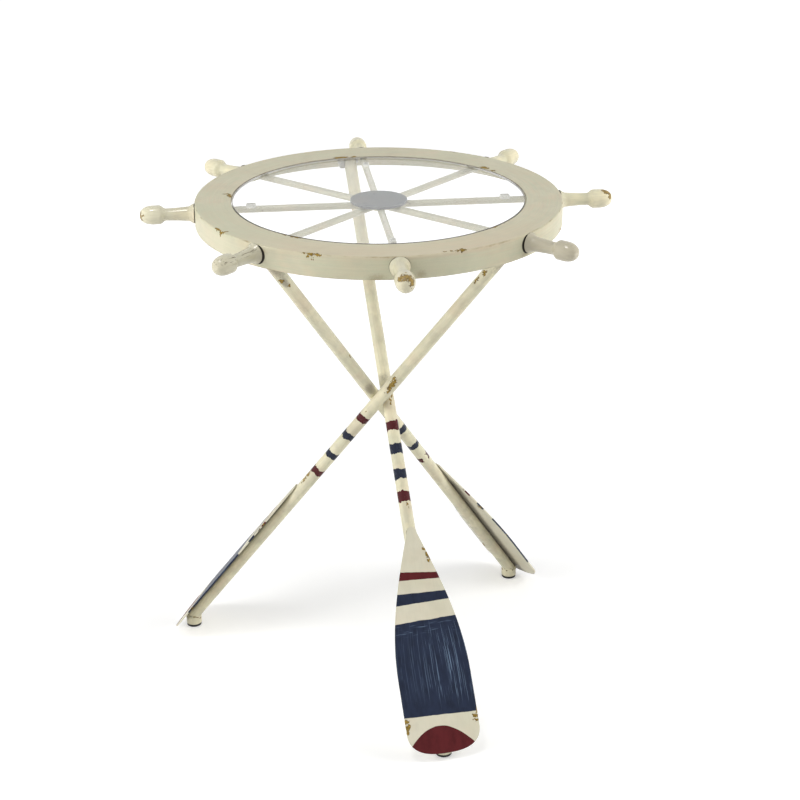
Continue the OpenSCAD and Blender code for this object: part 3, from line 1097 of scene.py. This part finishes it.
# the blade lies flat: its width along X, its length along Y from the tip, and is then turned onto the shaft
def makeBlade(sizes):
    stations = bladeStations(sizes)
    deselectAll()
    bpy.ops.mesh.primitive_grid_add(x_subdivisions=sizes["bladeColumns"], y_subdivisions=1, size=1)
    blade = startPiece("oarBlade_1")
    bpy.ops.object.mode_set(mode="EDIT")
    bpy.ops.mesh.select_all(action="DESELECT")
    leaveEdit()
    for vertex in blade.data.vertices:
        vertex.select = vertex.co.y > 0
    bpy.ops.object.mode_set(mode="EDIT")
    bpy.ops.mesh.delete(type="VERT")
    bpy.ops.mesh.select_all(action="SELECT")
    bpy.ops.transform.translate(value=(0, stations[0] + 0.5, 0))
    width = 2 * bladeHalf(stations[0], sizes)
    bpy.ops.transform.resize(value=(width, 1, 1), center_override=origin)
    for reach, nextReach in zip(stations, stations[1:]):
        bpy.ops.mesh.extrude_region_move(TRANSFORM_OT_translate={"value": (0, nextReach - reach, 0)})
        nextWidth = 2 * bladeHalf(nextReach, sizes)
        bpy.ops.transform.resize(value=(nextWidth / width, 1, 1), center_override=origin)
        width = nextWidth
    closeShape()
    leaveEdit()
    wall = blade.modifiers.new("wall", "SOLIDIFY")
    wall.thickness = sizes["bladeSheet"]
    wall.offset = 0
    bpy.ops.object.modifier_apply(modifier=wall.name)
    editAll()
    bpy.ops.transform.translate(value=(0, 0, sizes["bladeSheet"] / 2))
    bpy.ops.mesh.normals_make_consistent(inside=False)
    leaveEdit()
    roundEdges(blade, sizes["bladeEdge"], 2)
    return blade


# how far each point of a blade lies from the blade's edge, across it
def keepEdgeGap(blade, number, sizes):
    mesh = blade.data
    held = mesh.attributes.new("edgeGap", "FLOAT", "POINT")
    gaps = []
    for point in mesh.attributes["place"].data:
        across, reach = point.vector.y, max(0, point.vector.z + sizes["bladePast"][number])
        gaps.append(max(0, bladeHalf(reach, sizes) - abs(across)))
    held.data.foreach_set("value", gaps)


def placeBlade(blade, number, sizes):
    start = (sizes["tubeRadius"], 0, -sizes["bladePast"][number])
    pickOnly(blade)
    blade.matrix_world = placeOf(Vector(start), (0, 1, 0), (0, 0, 1), (1, 0, 0))
    applyPlace()
    settle(blade, oarFrame(number)[0])
    keepEdgeGap(blade, number, sizes)


footSizes = {
    "sides": 64,
    "postEdge": 0.0026,
    "postCut": 0.0005,  # the lower edge's bevel
    "postSupports": (0.0012, 0.0008, 0.0006),  # above that bevel, below the rounding, inside it
    "capEdge": 0.0010,
    "capHollow": (0.0004, 0.62, 0.68),  # depth, and shares of the radius where it ends
    "stemRadius": 0.003,
    "stemEdge": 0.0005,
    "beadSize": 0.0013,
    "beadSides": (72, 10),
    "beadReach": 0.95,  # share of the tube's radius
    "beadRough": (0.00035, 0.4),  # unevenness and smoothing
    "crossBead": 0.0032,
    "crossSides": (20, 12),
    "crossStretch": (1.5, 0.9, 0.8),
    "crossRough": (0.0004, 0.5),
}


def settleOnBox(piece, low, high):
    return settle(piece, Matrix.Translation(((low.x + high.x) / 2, (low.y + high.y) / 2, low.z)))


def makePost(number, sizes):
    low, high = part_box(f"foot_post_{number}")
    radius, edge, cut = (high.x - low.x) / 2, sizes["postEdge"], sizes["postCut"]
    height = high.z - low.z
    lower, upper, inside = sizes["postSupports"]
    outline = [(0, 0), (radius - cut, 0), (radius, cut), (radius, lower), (radius, height - edge - upper)]
    outline += arc(radius - edge, height - edge, edge, 0, 90, 7)
    outline += [(radius - edge - inside, height), (0, height)]
    return settleOnBox(spinShape(f"footPost_{number}", outline, sizes["sides"]), low, high)


def makeCap(number, sizes):
    low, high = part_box(f"foot_cap_{number}")
    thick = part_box(f"foot_post_{number}")[0].z - low.z
    radius, edge, top = (high.x - low.x) / 2, sizes["capEdge"], high.z - low.z
    depth, inner, outer = sizes["capHollow"]
    stem, stemEdge = sizes["stemRadius"], sizes["stemEdge"]
    outline = [(0, depth), (radius * inner, depth), (radius * outer, 0), (radius - edge, 0)]
    outline += arc(radius - edge, edge, edge, -60, 0, 4)
    outline += [(radius, thick), (stem, thick), (stem, top - stemEdge), (stem - stemEdge, top), (0, top)]
    return settleOnBox(spinShape(f"footCap_{number}", outline, sizes["sides"]), low, high)


# an uneven bead of weld round the shaft's level cut on the foot
def makeFootBead(number, sizes, oar):
    place, foot, top = oarFrame(number)
    around, across = sizes["beadSides"]
    deselectAll()
    bpy.ops.mesh.primitive_torus_add(
        major_radius=oar["tubeRadius"] * sizes["beadReach"], minor_radius=sizes["beadSize"],
        major_segments=around, minor_segments=across,
    )
    bead = startPiece(f"footWeld_{number}")
    lean = place.to_3x3().col[2].z
    unevenness, smoothing = sizes["beadRough"]
    shapeBead((1 / lean, 1, 1), unevenness, number, smoothing)
    outward = (foot - top).xy.to_3d().normalized()
    return settle(bead, placeOf(foot, outward, upward.cross(outward), upward))


# a small blob of weld where two shafts pass each other
def makeCrossingBead(first, second, sizes):
    ends = [oarFrame(number)[1:] for number in (first, second)]
    near, far = intersect_line_line(*ends[0], *ends[1])
    segments, rings = sizes["crossSides"]
    deselectAll()
    bpy.ops.mesh.primitive_uv_sphere_add(segments=segments, ring_count=rings, radius=sizes["crossBead"])
    bead = startPiece(f"crossingWeld_{first}_{second}")
    unevenness, smoothing = sizes["crossRough"]
    shapeBead(sizes["crossStretch"], unevenness, first * 4 + second, smoothing)
    gap = (far - near).normalized()
    along = sum(((top - foot).normalized() for foot, top in ends), Vector())
    side = along.cross(gap).normalized()
    return settle(bead, placeOf((near + far) / 2, side, gap.cross(side), gap))


fixingSizes = {
    "lug": (0.013, 0.006),  # width along the shaft's run, thickness
    "lugGap": 0.0003,
    "lugEdge": 0.0008,
    "bolt": 0.002,
    "boltEdge": 0.0004,
    "boltSides": 32,
    "head": 0.0036,
    "headHeight": 0.0026,
    "nutWidth": 0.007,
    "nutHeight": 0.003,
    "nutEdge": 0.0003,
}


# X points outwards along the shaft's run, Y to its side, and it starts on the bolt's axis
def boltFrame(number):
    foot, top = oarFrame(number)[1:]
    low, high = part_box(f"shaft_lug_{number}")
    along = (top - foot).normalized()
    outward = (foot - top).xy.to_3d().normalized()
    start = foot + along * ((low.z + high.z) / 2 - foot.z) / along.z
    return placeOf(start, outward, upward.cross(outward), upward)


# a bolt or nut is made along Z and then laid along the bolt's axis
def layFixing(piece, number):
    return settle(piece, boltFrame(number) @ Matrix.Rotation(-pi / 2, 4, "X"))


def makeLug(number, sizes, oar):
    low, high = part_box(f"shaft_lug_{number}")
    wide, thick = sizes["lug"]
    side = oar["tubeRadius"] + sizes["lugGap"] + thick / 2
    lug = addBox(f"shaftLug_{number}", (0, -side, 0), (wide, thick, high.z - low.z))
    roundEdges(lug, sizes["lugEdge"], 3)
    return settle(lug, boltFrame(number))


def makeBolt(number, sizes, oar):
    start = -(oar["tubeRadius"] + sizes["lugGap"] + sizes["lug"][1])
    end = oar["tubeRadius"] + sizes["nutHeight"]
    head, high = sizes["head"], sizes["headHeight"]
    shank, edge = sizes["bolt"], sizes["boltEdge"]
    turns = [radians(angle) for angle in range(12, 91, 13)]
    outline = [(0, start - high)] + [(head * sin(turn), start - high * cos(turn)) for turn in turns]
    outline += [(shank, start), (shank, end - edge), (shank - edge, end), (0, end)]
    return layFixing(spinShape("bolt", outline, sizes["boltSides"]), number)


def makeNut(number, sizes, oar):
    deselectAll()
    bpy.ops.mesh.primitive_cylinder_add(
        vertices=6, radius=sizes["nutWidth"] / 2 / cos(pi / 6), depth=sizes["nutHeight"],
        location=(0, 0, oar["tubeRadius"] + sizes["nutHeight"] / 2),
    )
    nut = startPiece("nut")
    applyPlace()
    roundEdges(nut, sizes["nutEdge"], 2, 30)
    return layFixing(nut, number)


# paint on the shafts

# the bands from the top down, with their lowest and highest points from each shaft's foot
bandInks = ("maroon", "navy", "navy", "maroon")
shaftBands = {
    1: [(0.3972, 0.4092), (0.3668, 0.3798), (0.3340, 0.3470), (0.3036, 0.3170)],
    2: [(0.3950, 0.4050), (0.3630, 0.3735), (0.3250, 0.3345), (0.2935, 0.3040)],
    3: [(0.4060, 0.4158), (0.3730, 0.3832), (0.3358, 0.3458), (0.3025, 0.3128)],
}
bandGaps = {2: [((-0.0018, -0.0078, 0.2985), (0.0042, 0.0040, 0.0090))]}  # where a band was never closed
shaftSpots = {
    # places in the shaft's own axes: blade side, sideways, up from the foot
    1: [
        ((0.0070, 0.0040, 0.4440), (0.0022, 0.0028, 0.0052)),
        ((0.0078, 0.0008, 0.4345), (0.0020, 0.0016, 0.0042)),
        ((0.0079, 0.0002, 0.2990), (0.0020, 0.0010, 0.0024)),
        ((0.0075, 0.0025, 0.2955), (0.0020, 0.0012, 0.0016)),
        ((-0.0050, 0.0062, 0.1500), (0.0030, 0.0026, 0.0060)),
        ((-0.0060, -0.0052, 0.5600), (0.0024, 0.0026, 0.0080)),
    ],
    2: [
        ((-0.0058, -0.0052, 0.6950), (0.0028, 0.0032, 0.0030)),
        ((-0.0020, -0.0077, 0.6830), (0.0022, 0.0018, 0.0024)),
        ((0.0030, -0.0073, 0.5280), (0.0009, 0.0014, 0.0026)),
        ((-0.0070, 0.0040, 0.5200), (0.0026, 0.0030, 0.0070)),
        ((0.0020, 0.0076, 0.3900), (0.0030, 0.0018, 0.0040)),
    ],
    3: [
        ((0.0004, 0.0079, 0.4775), (0.0036, 0.0026, 0.0105)),
        ((-0.0016, 0.0080, 0.4680), (0.0030, 0.0022, 0.0062)),
        ((0.0030, 0.0074, 0.4850), (0.0022, 0.0022, 0.0034)),
        ((0.0030, 0.0074, 0.4245), (0.0009, 0.0010, 0.0012)),
        ((0.0042, 0.0068, 0.6755), (0.0030, 0.0028, 0.0056)),
        ((0.0052, 0.0060, 0.6610), (0.0026, 0.0026, 0.0056)),
        ((0.0068, 0.0042, 0.2945), (0.0030, 0.0032, 0.0048)),
        ((0.0060, 0.0053, 0.2835), (0.0018, 0.0020, 0.0066)),
        ((-0.0070, -0.0040, 0.3600), (0.0028, 0.0030, 0.0060)),
        ((0.0000, -0.0080, 0.5700), (0.0030, 0.0020, 0.0080)),
    ],
}
# dirt and painted shade, mostly where the shafts pass each other and below the rim
shaftShadeAndDirt = {
    1: [((0, 0, 0.4660), (0.0110, 0.0110, 0.0100))],
    2: [
        ((-0.0020, -0.0070, 0.4630), (0.0100, 0.0060, 0.0120)),
        ((0, -0.0040, 0.7150), (0.0110, 0.0110, 0.0240)),
        ((-0.0040, -0.0060, 0.6900), (0.0060, 0.0040, 0.0100)),
    ],
    3: [
        ((-0.0070, -0.0010, 0.4520), (0.0070, 0.0070, 0.0140)),
        ((-0.0050, 0, 0.7000), (0.0110, 0.0110, 0.0260)),
    ],
}
shaftLook = {
    "brush": (1, 1, 18),
    "wave": 0.0105,  # how far a band's edges wander
    "waves": (0.0065, 2, 2, (1, 1, 2)),
    "dabs": (0.0018, 2, 4, 0.45, 0.8, (1, 1, 5)),
    "gapRaggedness": 0.5,
    "gapFade": (0.05, -0.05),
    "shadeAndDirt": 0.5,
    "shadeAndDirtReach": 1.25,  # in the half sizes of its places
    "seamSide": (0.0035, 0.0075),  # how far to the blade's side the grime and painted shade along its joint starts and is full
    "seamEnd": (0.262, 0.235),  # and up from the foot
    "seamShadeAndDirt": 0.48,
    "scatter": 0.2,
    "finish": (0.04, 0.22),
}


def shaftPaint(number, look):
    seed = 50.0 + 10 * number
    material, tree, shader = newMaterial(f"shaftPaint_{number}")
    place = ownPlace(tree)
    outward, _, height = split(tree, place)
    colour = creamColour(tree, place, "oarCream", seed, look["brush"])
    # dirt and painted shade where the shafts cross and below the rim
    for middle, size in shaftShadeAndDirt[number]:
        shadeAndDirt = minus(tree, look["shadeAndDirtReach"], eggReach(tree, place, middle, size))
        colour = darkenUnevenly(tree, place, colour, shadeAndDirt, seed + middle[2], "grimeAndShade", look["shadeAndDirt"])
    # grime and painted shade on the side that faces the blade, low down
    seam = smoothStep(tree, outward, *look["seamSide"])
    seam = times(tree, seam, smoothStep(tree, height, *look["seamEnd"]))
    colour = darkenUnevenly(tree, place, colour, seam, seed + 3, "grimeAndShade", look["seamShadeAndDirt"])
    shaken = wandering(tree, height, noise(tree, place, seed, *look["waves"]), look["wave"])
    dabs = patches(tree, place, seed, *look["dabs"])
    for (low, high), name in zip(shaftBands[number], bandInks):
        inside = bandBetween(tree, shaken, low, high, wearLook["edge"])
        if number in bandGaps:
            unclosed = spotDepth(tree, place, bandGaps[number], seed + 5, look["gapRaggedness"])
            inside = times(tree, inside, smoothStep(tree, unclosed, *look["gapFade"]))
        colour = mixColours(tree, inside, colour, dabbed(tree, dabs, name))
    depth = spotDepth(tree, place, shaftSpots[number], seed + 31)
    depth = largest(tree, scatteredDepth(tree, place, seed, look["scatter"]), depth)
    wearPaint(tree, shader, place, colour, depth, seed, *look["finish"])
    return material


# maroon or navy, darker where the brush left less
def dabbed(tree, dabs, name):
    return mixColours(tree, dabs, ink["dark" + name.capitalize()], ink[name])


# paint on the blades

bladeLook = {
    # distances from the tip at the blade's middle, and how much they grow per metre across
    "maroonBand": ((0.2155, -0.032), (0.2251, -0.094)),
    "navyBand": ((0.1867, 0.032), (0.1996, -0.021)),
    "navyField": ((0.0466, -0.035), (0.1650, 0.034)),
    "sector": (0.0336, -0.139, -14.5),  # end's arc: middle, slope and curve
    "brush": (1, 1, 10),
    "calming": 0.5,  # how far the enamel's tints give way to plain cream
    "wave": 0.0022,
    "waves": (0.014, 2, 2, (1, 1, 3)),
    "dabs": (0.008, 3, 4, 0.25, 0.65, (1, 1, 2)),
    "backTo": (0.0003, 0.0007),  # how far above the tube the back's paint ends
    "lap": 0.0009,  # how far the face's paint laps round onto the back
    "lapping": (0.003, 3, 31),
    "lapEdge": 0.0003,
    "seamSide": (0.024, 0.0065),  # how far across the grime and painted shade along the joint on the back starts and is full
    "seamEnd": (0.265, 0.225),
    "seamShadeAndDirt": 0.64,
    "edgeWear": 0.0011,  # how far in the worn edge reaches
    "edgePlaces": (0.012, 3, 41),
    "edgeLevels": (2.2, -1.35),
    "spotReach": 0.01,  # through the blade
    "scatter": 0.16,
    "finish": (-0.1, 0.14),
}
strokeLook = {
    "push": (0.0005, 0.03),
    "zone": (0.058, 0.157),  # where the strokes start and have ended, from the tip
    "zoneFade": (0.02, 0.01),
    "ends": (0.0016, 1, 10),
    "unevenEnds": 0.09,
    "dryness": (0.009, 2, 8, 0.3, 0.55, (1, 1, 8)),
    "left": 0.26,  # strength on the left
    "right": 0.76,  # and what the right adds
    "rightFrom": (-0.03, 0.012),
    "fine": (0.0008, 0, 6, 0.56, 0.72, (1, 1, 90)),
    "fineness": 0.62,
    "broad": (0.0013, 1, 7, 0.66, 0.76, (1, 1, 50)),
    "broadness": 0.8,
    "sweepZone": (0.145, 0.164),
    "sweepFade": 0.006,
    "sweeps": (0.0013, 1, 9, 0.58, 0.74, (1, 18, 1)),
    "sweeping": 0.5,
}
bladeSpots = {
    # across the blade and from its tip; half width and half length
    1: [
        (0.0128, 0.2545, 0.0030, 0.0020),
        (0.0158, 0.2455, 0.0026, 0.0036),
        (0.0192, 0.2412, 0.0034, 0.0026),
        (0.0160, 0.2380, 0.0020, 0.0018),
        (-0.0445, 0.0440, 0.0038, 0.0036),
        (-0.0440, 0.0370, 0.0034, 0.0034),
        (-0.0450, 0.0310, 0.0020, 0.0036),
        (0.0440, 0.0396, 0.0040, 0.0022),
        (0.0432, 0.0344, 0.0040, 0.0020),
        (0.0466, 0.0480, 0.0014, 0.0056),
    ],
    2: [
        (0.0420, 0.0410, 0.0040, 0.0060),
        (-0.0300, 0.1900, 0.0030, 0.0040),
        (0.0100, 0.0040, 0.0090, 0.0030),
    ],
    3: [
        (-0.0440, 0.0480, 0.0034, 0.0070),
        (0.0240, 0.2150, 0.0034, 0.0040),
        (-0.0120, 0.0030, 0.0080, 0.0026),
    ],
}


# 1 between two slanting lines, each given by its place at the blade's middle and its slope
def slantBand(tree, across, reach, lines):
    low, high = [minus(tree, reach, scaled(tree, across, slope, middle)) for middle, slope in lines]
    edge = wearLook["edge"]
    return times(tree, smoothStep(tree, low, 0, edge), smoothStep(tree, high, 0, -edge))


def bladePaint(number, look, oar):
    seed = 100.0 + 10 * number
    material, tree, shader = newMaterial(f"bladePaint_{number}")
    place = vectorMath(tree, "ADD", ownPlace(tree), (0, 0, oar["bladePast"][number]))
    face, across, reach = split(tree, place)
    gap = addNode(tree, "Attribute", {}, attribute_name="edgeGap").outputs["Fac"]
    cream = creamColour(tree, place, "bladeCream", seed, look["brush"])
    cream = mixColours(tree, look["calming"], cream, ink["bladeCream"])
    shaken = wandering(tree, reach, noise(tree, place, seed, *look["waves"]), look["wave"])
    dabs = patches(tree, place, seed, *look["dabs"])
    maroon = dabbed(tree, dabs, "maroon")
    navy = dabbed(tree, dabs, "navy")
    field = brushedField(tree, place, gap, oar["bladeWidth"], navy, seed, strokeLook)
    painted = cream
    for name, tone in (("maroonBand", maroon), ("navyBand", navy), ("navyField", field)):
        painted = mixColours(tree, slantBand(tree, across, shaken, look[name]), painted, tone)
    middle, slope, curve = look["sector"]
    line = scaled(tree, across, slope, middle)
    arch = scaled(tree, calculate(tree, "POWER", across, 2), curve, line)
    below = smoothStep(tree, minus(tree, arch, shaken), 0, wearLook["edge"])
    painted = mixColours(tree, below, painted, maroon)

    # the back is cream, with grime and painted shade along the shaft, and the face's paint lapping round its
    # edge
    seam = smoothStep(tree, calculate(tree, "ABSOLUTE", across), *look["seamSide"])
    seam = times(tree, seam, smoothStep(tree, reach, *look["seamEnd"]))
    back = darkenUnevenly(tree, place, cream, seam, seed + 6, "grimeAndShade", look["seamShadeAndDirt"])
    outside = smoothStep(tree, face, *[oar["tubeRadius"] + distance for distance in look["backTo"]])
    lap = times(tree, noise(tree, place, seed, *look["lapping"]), look["lap"] * 2)
    lapped = smoothStep(tree, minus(tree, lap, gap), 0, look["lapEdge"])
    colour = mixColours(tree, largest(tree, outside, lapped), back, painted)
    uneven = scaled(tree, noise(tree, place, seed, *look["edgePlaces"]), *look["edgeLevels"])
    edgeWear = minus(tree, uneven, calculate(tree, "DIVIDE", gap, look["edgeWear"]))
    skin, deep = oar["tubeRadius"] + oar["bladeSheet"], look["spotReach"]
    spots = [((skin, side, up), (deep, wide, long)) for side, up, wide, long in bladeSpots[number]]
    depth = largest(tree, spotDepth(tree, place, spots, seed + 33), edgeWear)
    depth = largest(tree, depth, scatteredDepth(tree, place, seed, look["scatter"]))
    wearPaint(tree, shader, place, colour, depth, seed, *look["finish"])
    return material


# the navy field: dry brush strokes along the blade, and a few across its upper end
def brushedField(tree, place, gap, width, navy, seed, look):
    face, across, reach = split(tree, place)
    half = calculate(tree, "ADD", gap, calculate(tree, "ABSOLUTE", across))
    spread = times(tree, calculate(tree, "DIVIDE", across, half), width / 2)
    pushed = pushAbout(tree, combine(tree, face, spread, reach), seed + 5, *look["push"])
    ends = noise(tree, combine(tree, 0, spread), seed, *look["ends"])
    shaken = wandering(tree, reach, ends, look["unevenEnds"])
    zone = bandBetween(tree, shaken, *look["zone"], *look["zoneFade"])
    dry = patches(tree, place, seed, *look["dryness"])
    side = scaled(tree, smoothStep(tree, across, *look["rightFrom"]), look["right"], look["left"])
    fine = times(tree, patches(tree, pushed, seed, *look["fine"]), look["fineness"])
    broad = times(tree, patches(tree, pushed, seed, *look["broad"]), look["broadness"])
    strokes = times(tree, largest(tree, fine, broad), dry, zone, side)
    sweeps = patches(tree, pushed, seed, *look["sweeps"])
    upper = bandBetween(tree, reach, *look["sweepZone"], look["sweepFade"])
    colour = layInk(tree, navy, "brushedNavy", strokes)
    return layInk(tree, colour, "brushedNavy", times(tree, sweeps, upper), look["sweeping"])


# feet, rubber and steel

footLook = {
    "brush": (1, 1, 4),
    "dirtyTop": 0.012,
    "topSpecks": 0.16,
    "specks": (0.005, 3, 3),
    "speckLevel": 0.72,
    "speckSharpness": 4,
}
rubberLook = {
    # each rubber's colour, roughness and seed
    "padRubber": (linear(218, 216, 206), 0.45, 3.0),
    "footRubber": (linear(26, 25, 25), 0.6, 5.0),
    "dust": (0.004, 4, 0, 0.45, 0.75),
    "dusty": (1.6, 0.01, 0.15),  # how dust multiplies and lifts the colour, and roughens it
    "grain": (0.0009, 2, 1),
    "relief": (0.4, 0.0001),
}
steelLook = {
    "bright": linear(176, 174, 166),
    "dull": linear(140, 136, 124),
    "dullness": (0.002, 3),
    "roughness": 0.22,
    "unevenness": 0.25,
}


# paint on the feet, with dark specks where the weld was never cleaned
def footPaint(look, seed):
    material, tree, shader = newMaterial("footPaint")
    place = objectPlace(tree)
    colour = creamColour(tree, place, "oarCream", seed, look["brush"])
    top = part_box("foot_post_1")[1].z
    nearTop = smoothStep(tree, split(tree, place)[2], top - look["dirtyTop"], top)
    specks = scaled(tree, nearTop, look["topSpecks"], noise(tree, place, seed, *look["specks"]))
    depth = times(tree, minus(tree, specks, look["speckLevel"]), look["speckSharpness"])
    wearPaint(tree, shader, place, colour, depth, seed)
    return material


def rubberMaterial(name, look):
    colour, roughness, seed = look[name]
    material, tree, shader = newMaterial(name)
    place = objectPlace(tree)
    dust = patches(tree, place, seed, *look["dust"])
    factor, lift, rougher = look["dusty"]
    dusty = tuple(level * factor + lift for level in colour[:3]) + (1,)
    fillInputs(tree, shader, {
        "Base Color": mixColours(tree, dust, colour, dusty),
        "Roughness": scaled(tree, dust, rougher, roughness),
        "Normal": bump(tree, noise(tree, place, seed, *look["grain"]), *look["relief"]),
    })
    return material


def steelMaterial(look, seed):
    material, tree, shader = newMaterial("platedSteel")
    dull = noise(tree, objectPlace(tree), seed, *look["dullness"])
    fillInputs(tree, shader, {
        "Base Color": mixColours(tree, dull, look["bright"], look["dull"]),
        "Roughness": scaled(tree, dull, look["unevenness"], look["roughness"]),
        "Metallic": 1,
    })
    return material


# making everything

def withCopies(piece, name, count):
    return [piece] + [copyPiece(piece, f"{name}_{number}") for number in range(2, count + 1)]


def buildWheel(cream):
    finishPiece(makeRim(rimSizes), rimPaint(rimWear, 5.0), "cream_paint", "rim_plate", "rim_skirt", "rim_lip")
    print("rim made")
    clear = glassMaterial(glassHigh.x, glassLook, 41.0)
    finishPiece(makeGlass(glassSizes), clear, "glass", "glass_top", body="glass")
    print("glass made")
    finishPiece(makeHub(wheelSizes), hubShadedPaint(hubLook, 5.0), "cream_paint", "hub_disc")
    finishPiece(makeBoss(wheelSizes), cream, "cream_paint", "hub_boss")
    finishPiece(makePads(wheelSizes), rubberMaterial("padRubber", rubberLook), "pad_rubber", "glass_pads")
    print("hub and pads made")
    spoke = makeSpoke(wheelSizes)
    handle = spinShape("turnedHandle_1", handleOutline(handleSizes), handleSizes["sides"])
    spokes = withCopies(spoke, "spokeRod", spokeCount)
    handles = withCopies(handle, "turnedHandle", spokeCount)
    rodPaint = plainCream("spokePaint", 3.0, "rimCream", scatter=0.3)
    gripPaint = handlePaint(handleLook, 11.0)
    for number, (rod, grip) in enumerate(zip(spokes, handles), 1):
        finishPiece(settle(rod, alongSpoke(number)), rodPaint, "cream_paint", f"spoke_{number}")
        settle(grip, alongSpoke(number, rimRadius))
        finishPiece(grip, gripPaint, "cream_paint", f"handle_{number}")
    print("spokes and handles made")


def buildOars(cream):
    blades = withCopies(makeBlade(oarSizes), "oarBlade", shaftCount)
    posts = footPaint(footLook, 7.0)
    # the lugs' grey is painted shade, for they sit in the rim's shadow
    lugShadedPaint = plainCream("lugShadedPaint", 9.0, "lugShadedGrey", (1, 1, 1), 0.25)
    footRubber = rubberMaterial("footRubber", rubberLook)
    bolts, nuts = [], []
    for number, blade in enumerate(blades, 1):
        shaft = makeShaft(number, oarSizes)
        finishPiece(shaft, shaftPaint(number, shaftLook), "cream_paint", f"oar_shaft_{number}")
        placeBlade(blade, number, oarSizes)
        finishPiece(blade, bladePaint(number, bladeLook, oarSizes), "blade_paint", f"oar_blade_{number}")
        finishPiece(makePost(number, footSizes), posts, "cream_paint", f"foot_post_{number}")
        finishPiece(makeCap(number, footSizes), footRubber, "foot_rubber", f"foot_cap_{number}")
        finishPiece(makeFootBead(number, footSizes, oarSizes), posts, "cream_paint")
        finishPiece(makeCrossingBead(number, number % shaftCount + 1, footSizes), cream, "cream_paint")
        finishPiece(makeLug(number, fixingSizes, oarSizes), lugShadedPaint, "cream_paint", f"shaft_lug_{number}")
        bolts.append(makeBolt(number, fixingSizes, oarSizes))
        nuts.append(makeNut(number, fixingSizes, oarSizes))
    print("oars made")
    steel = steelMaterial(steelLook, 7.0)
    finishPiece(joinPieces(bolts, "lugBolts"), steel, "fastener_steel", "lug_bolts")
    finishPiece(joinPieces(nuts, "lugNuts"), steel, "fastener_steel", "lug_nuts")
    print("fixings made")


addCamera(cameraLook)
for lampLook in lampLooks:
    addLamp(*lampLook)
makeStage(stageLook)
print("camera, lights and floor made")
cream = plainCream("creamPaint", 1.0)
buildWheel(cream)
buildOars(cream)

bpy.context.scene.view_settings.view_transform = "Standard"
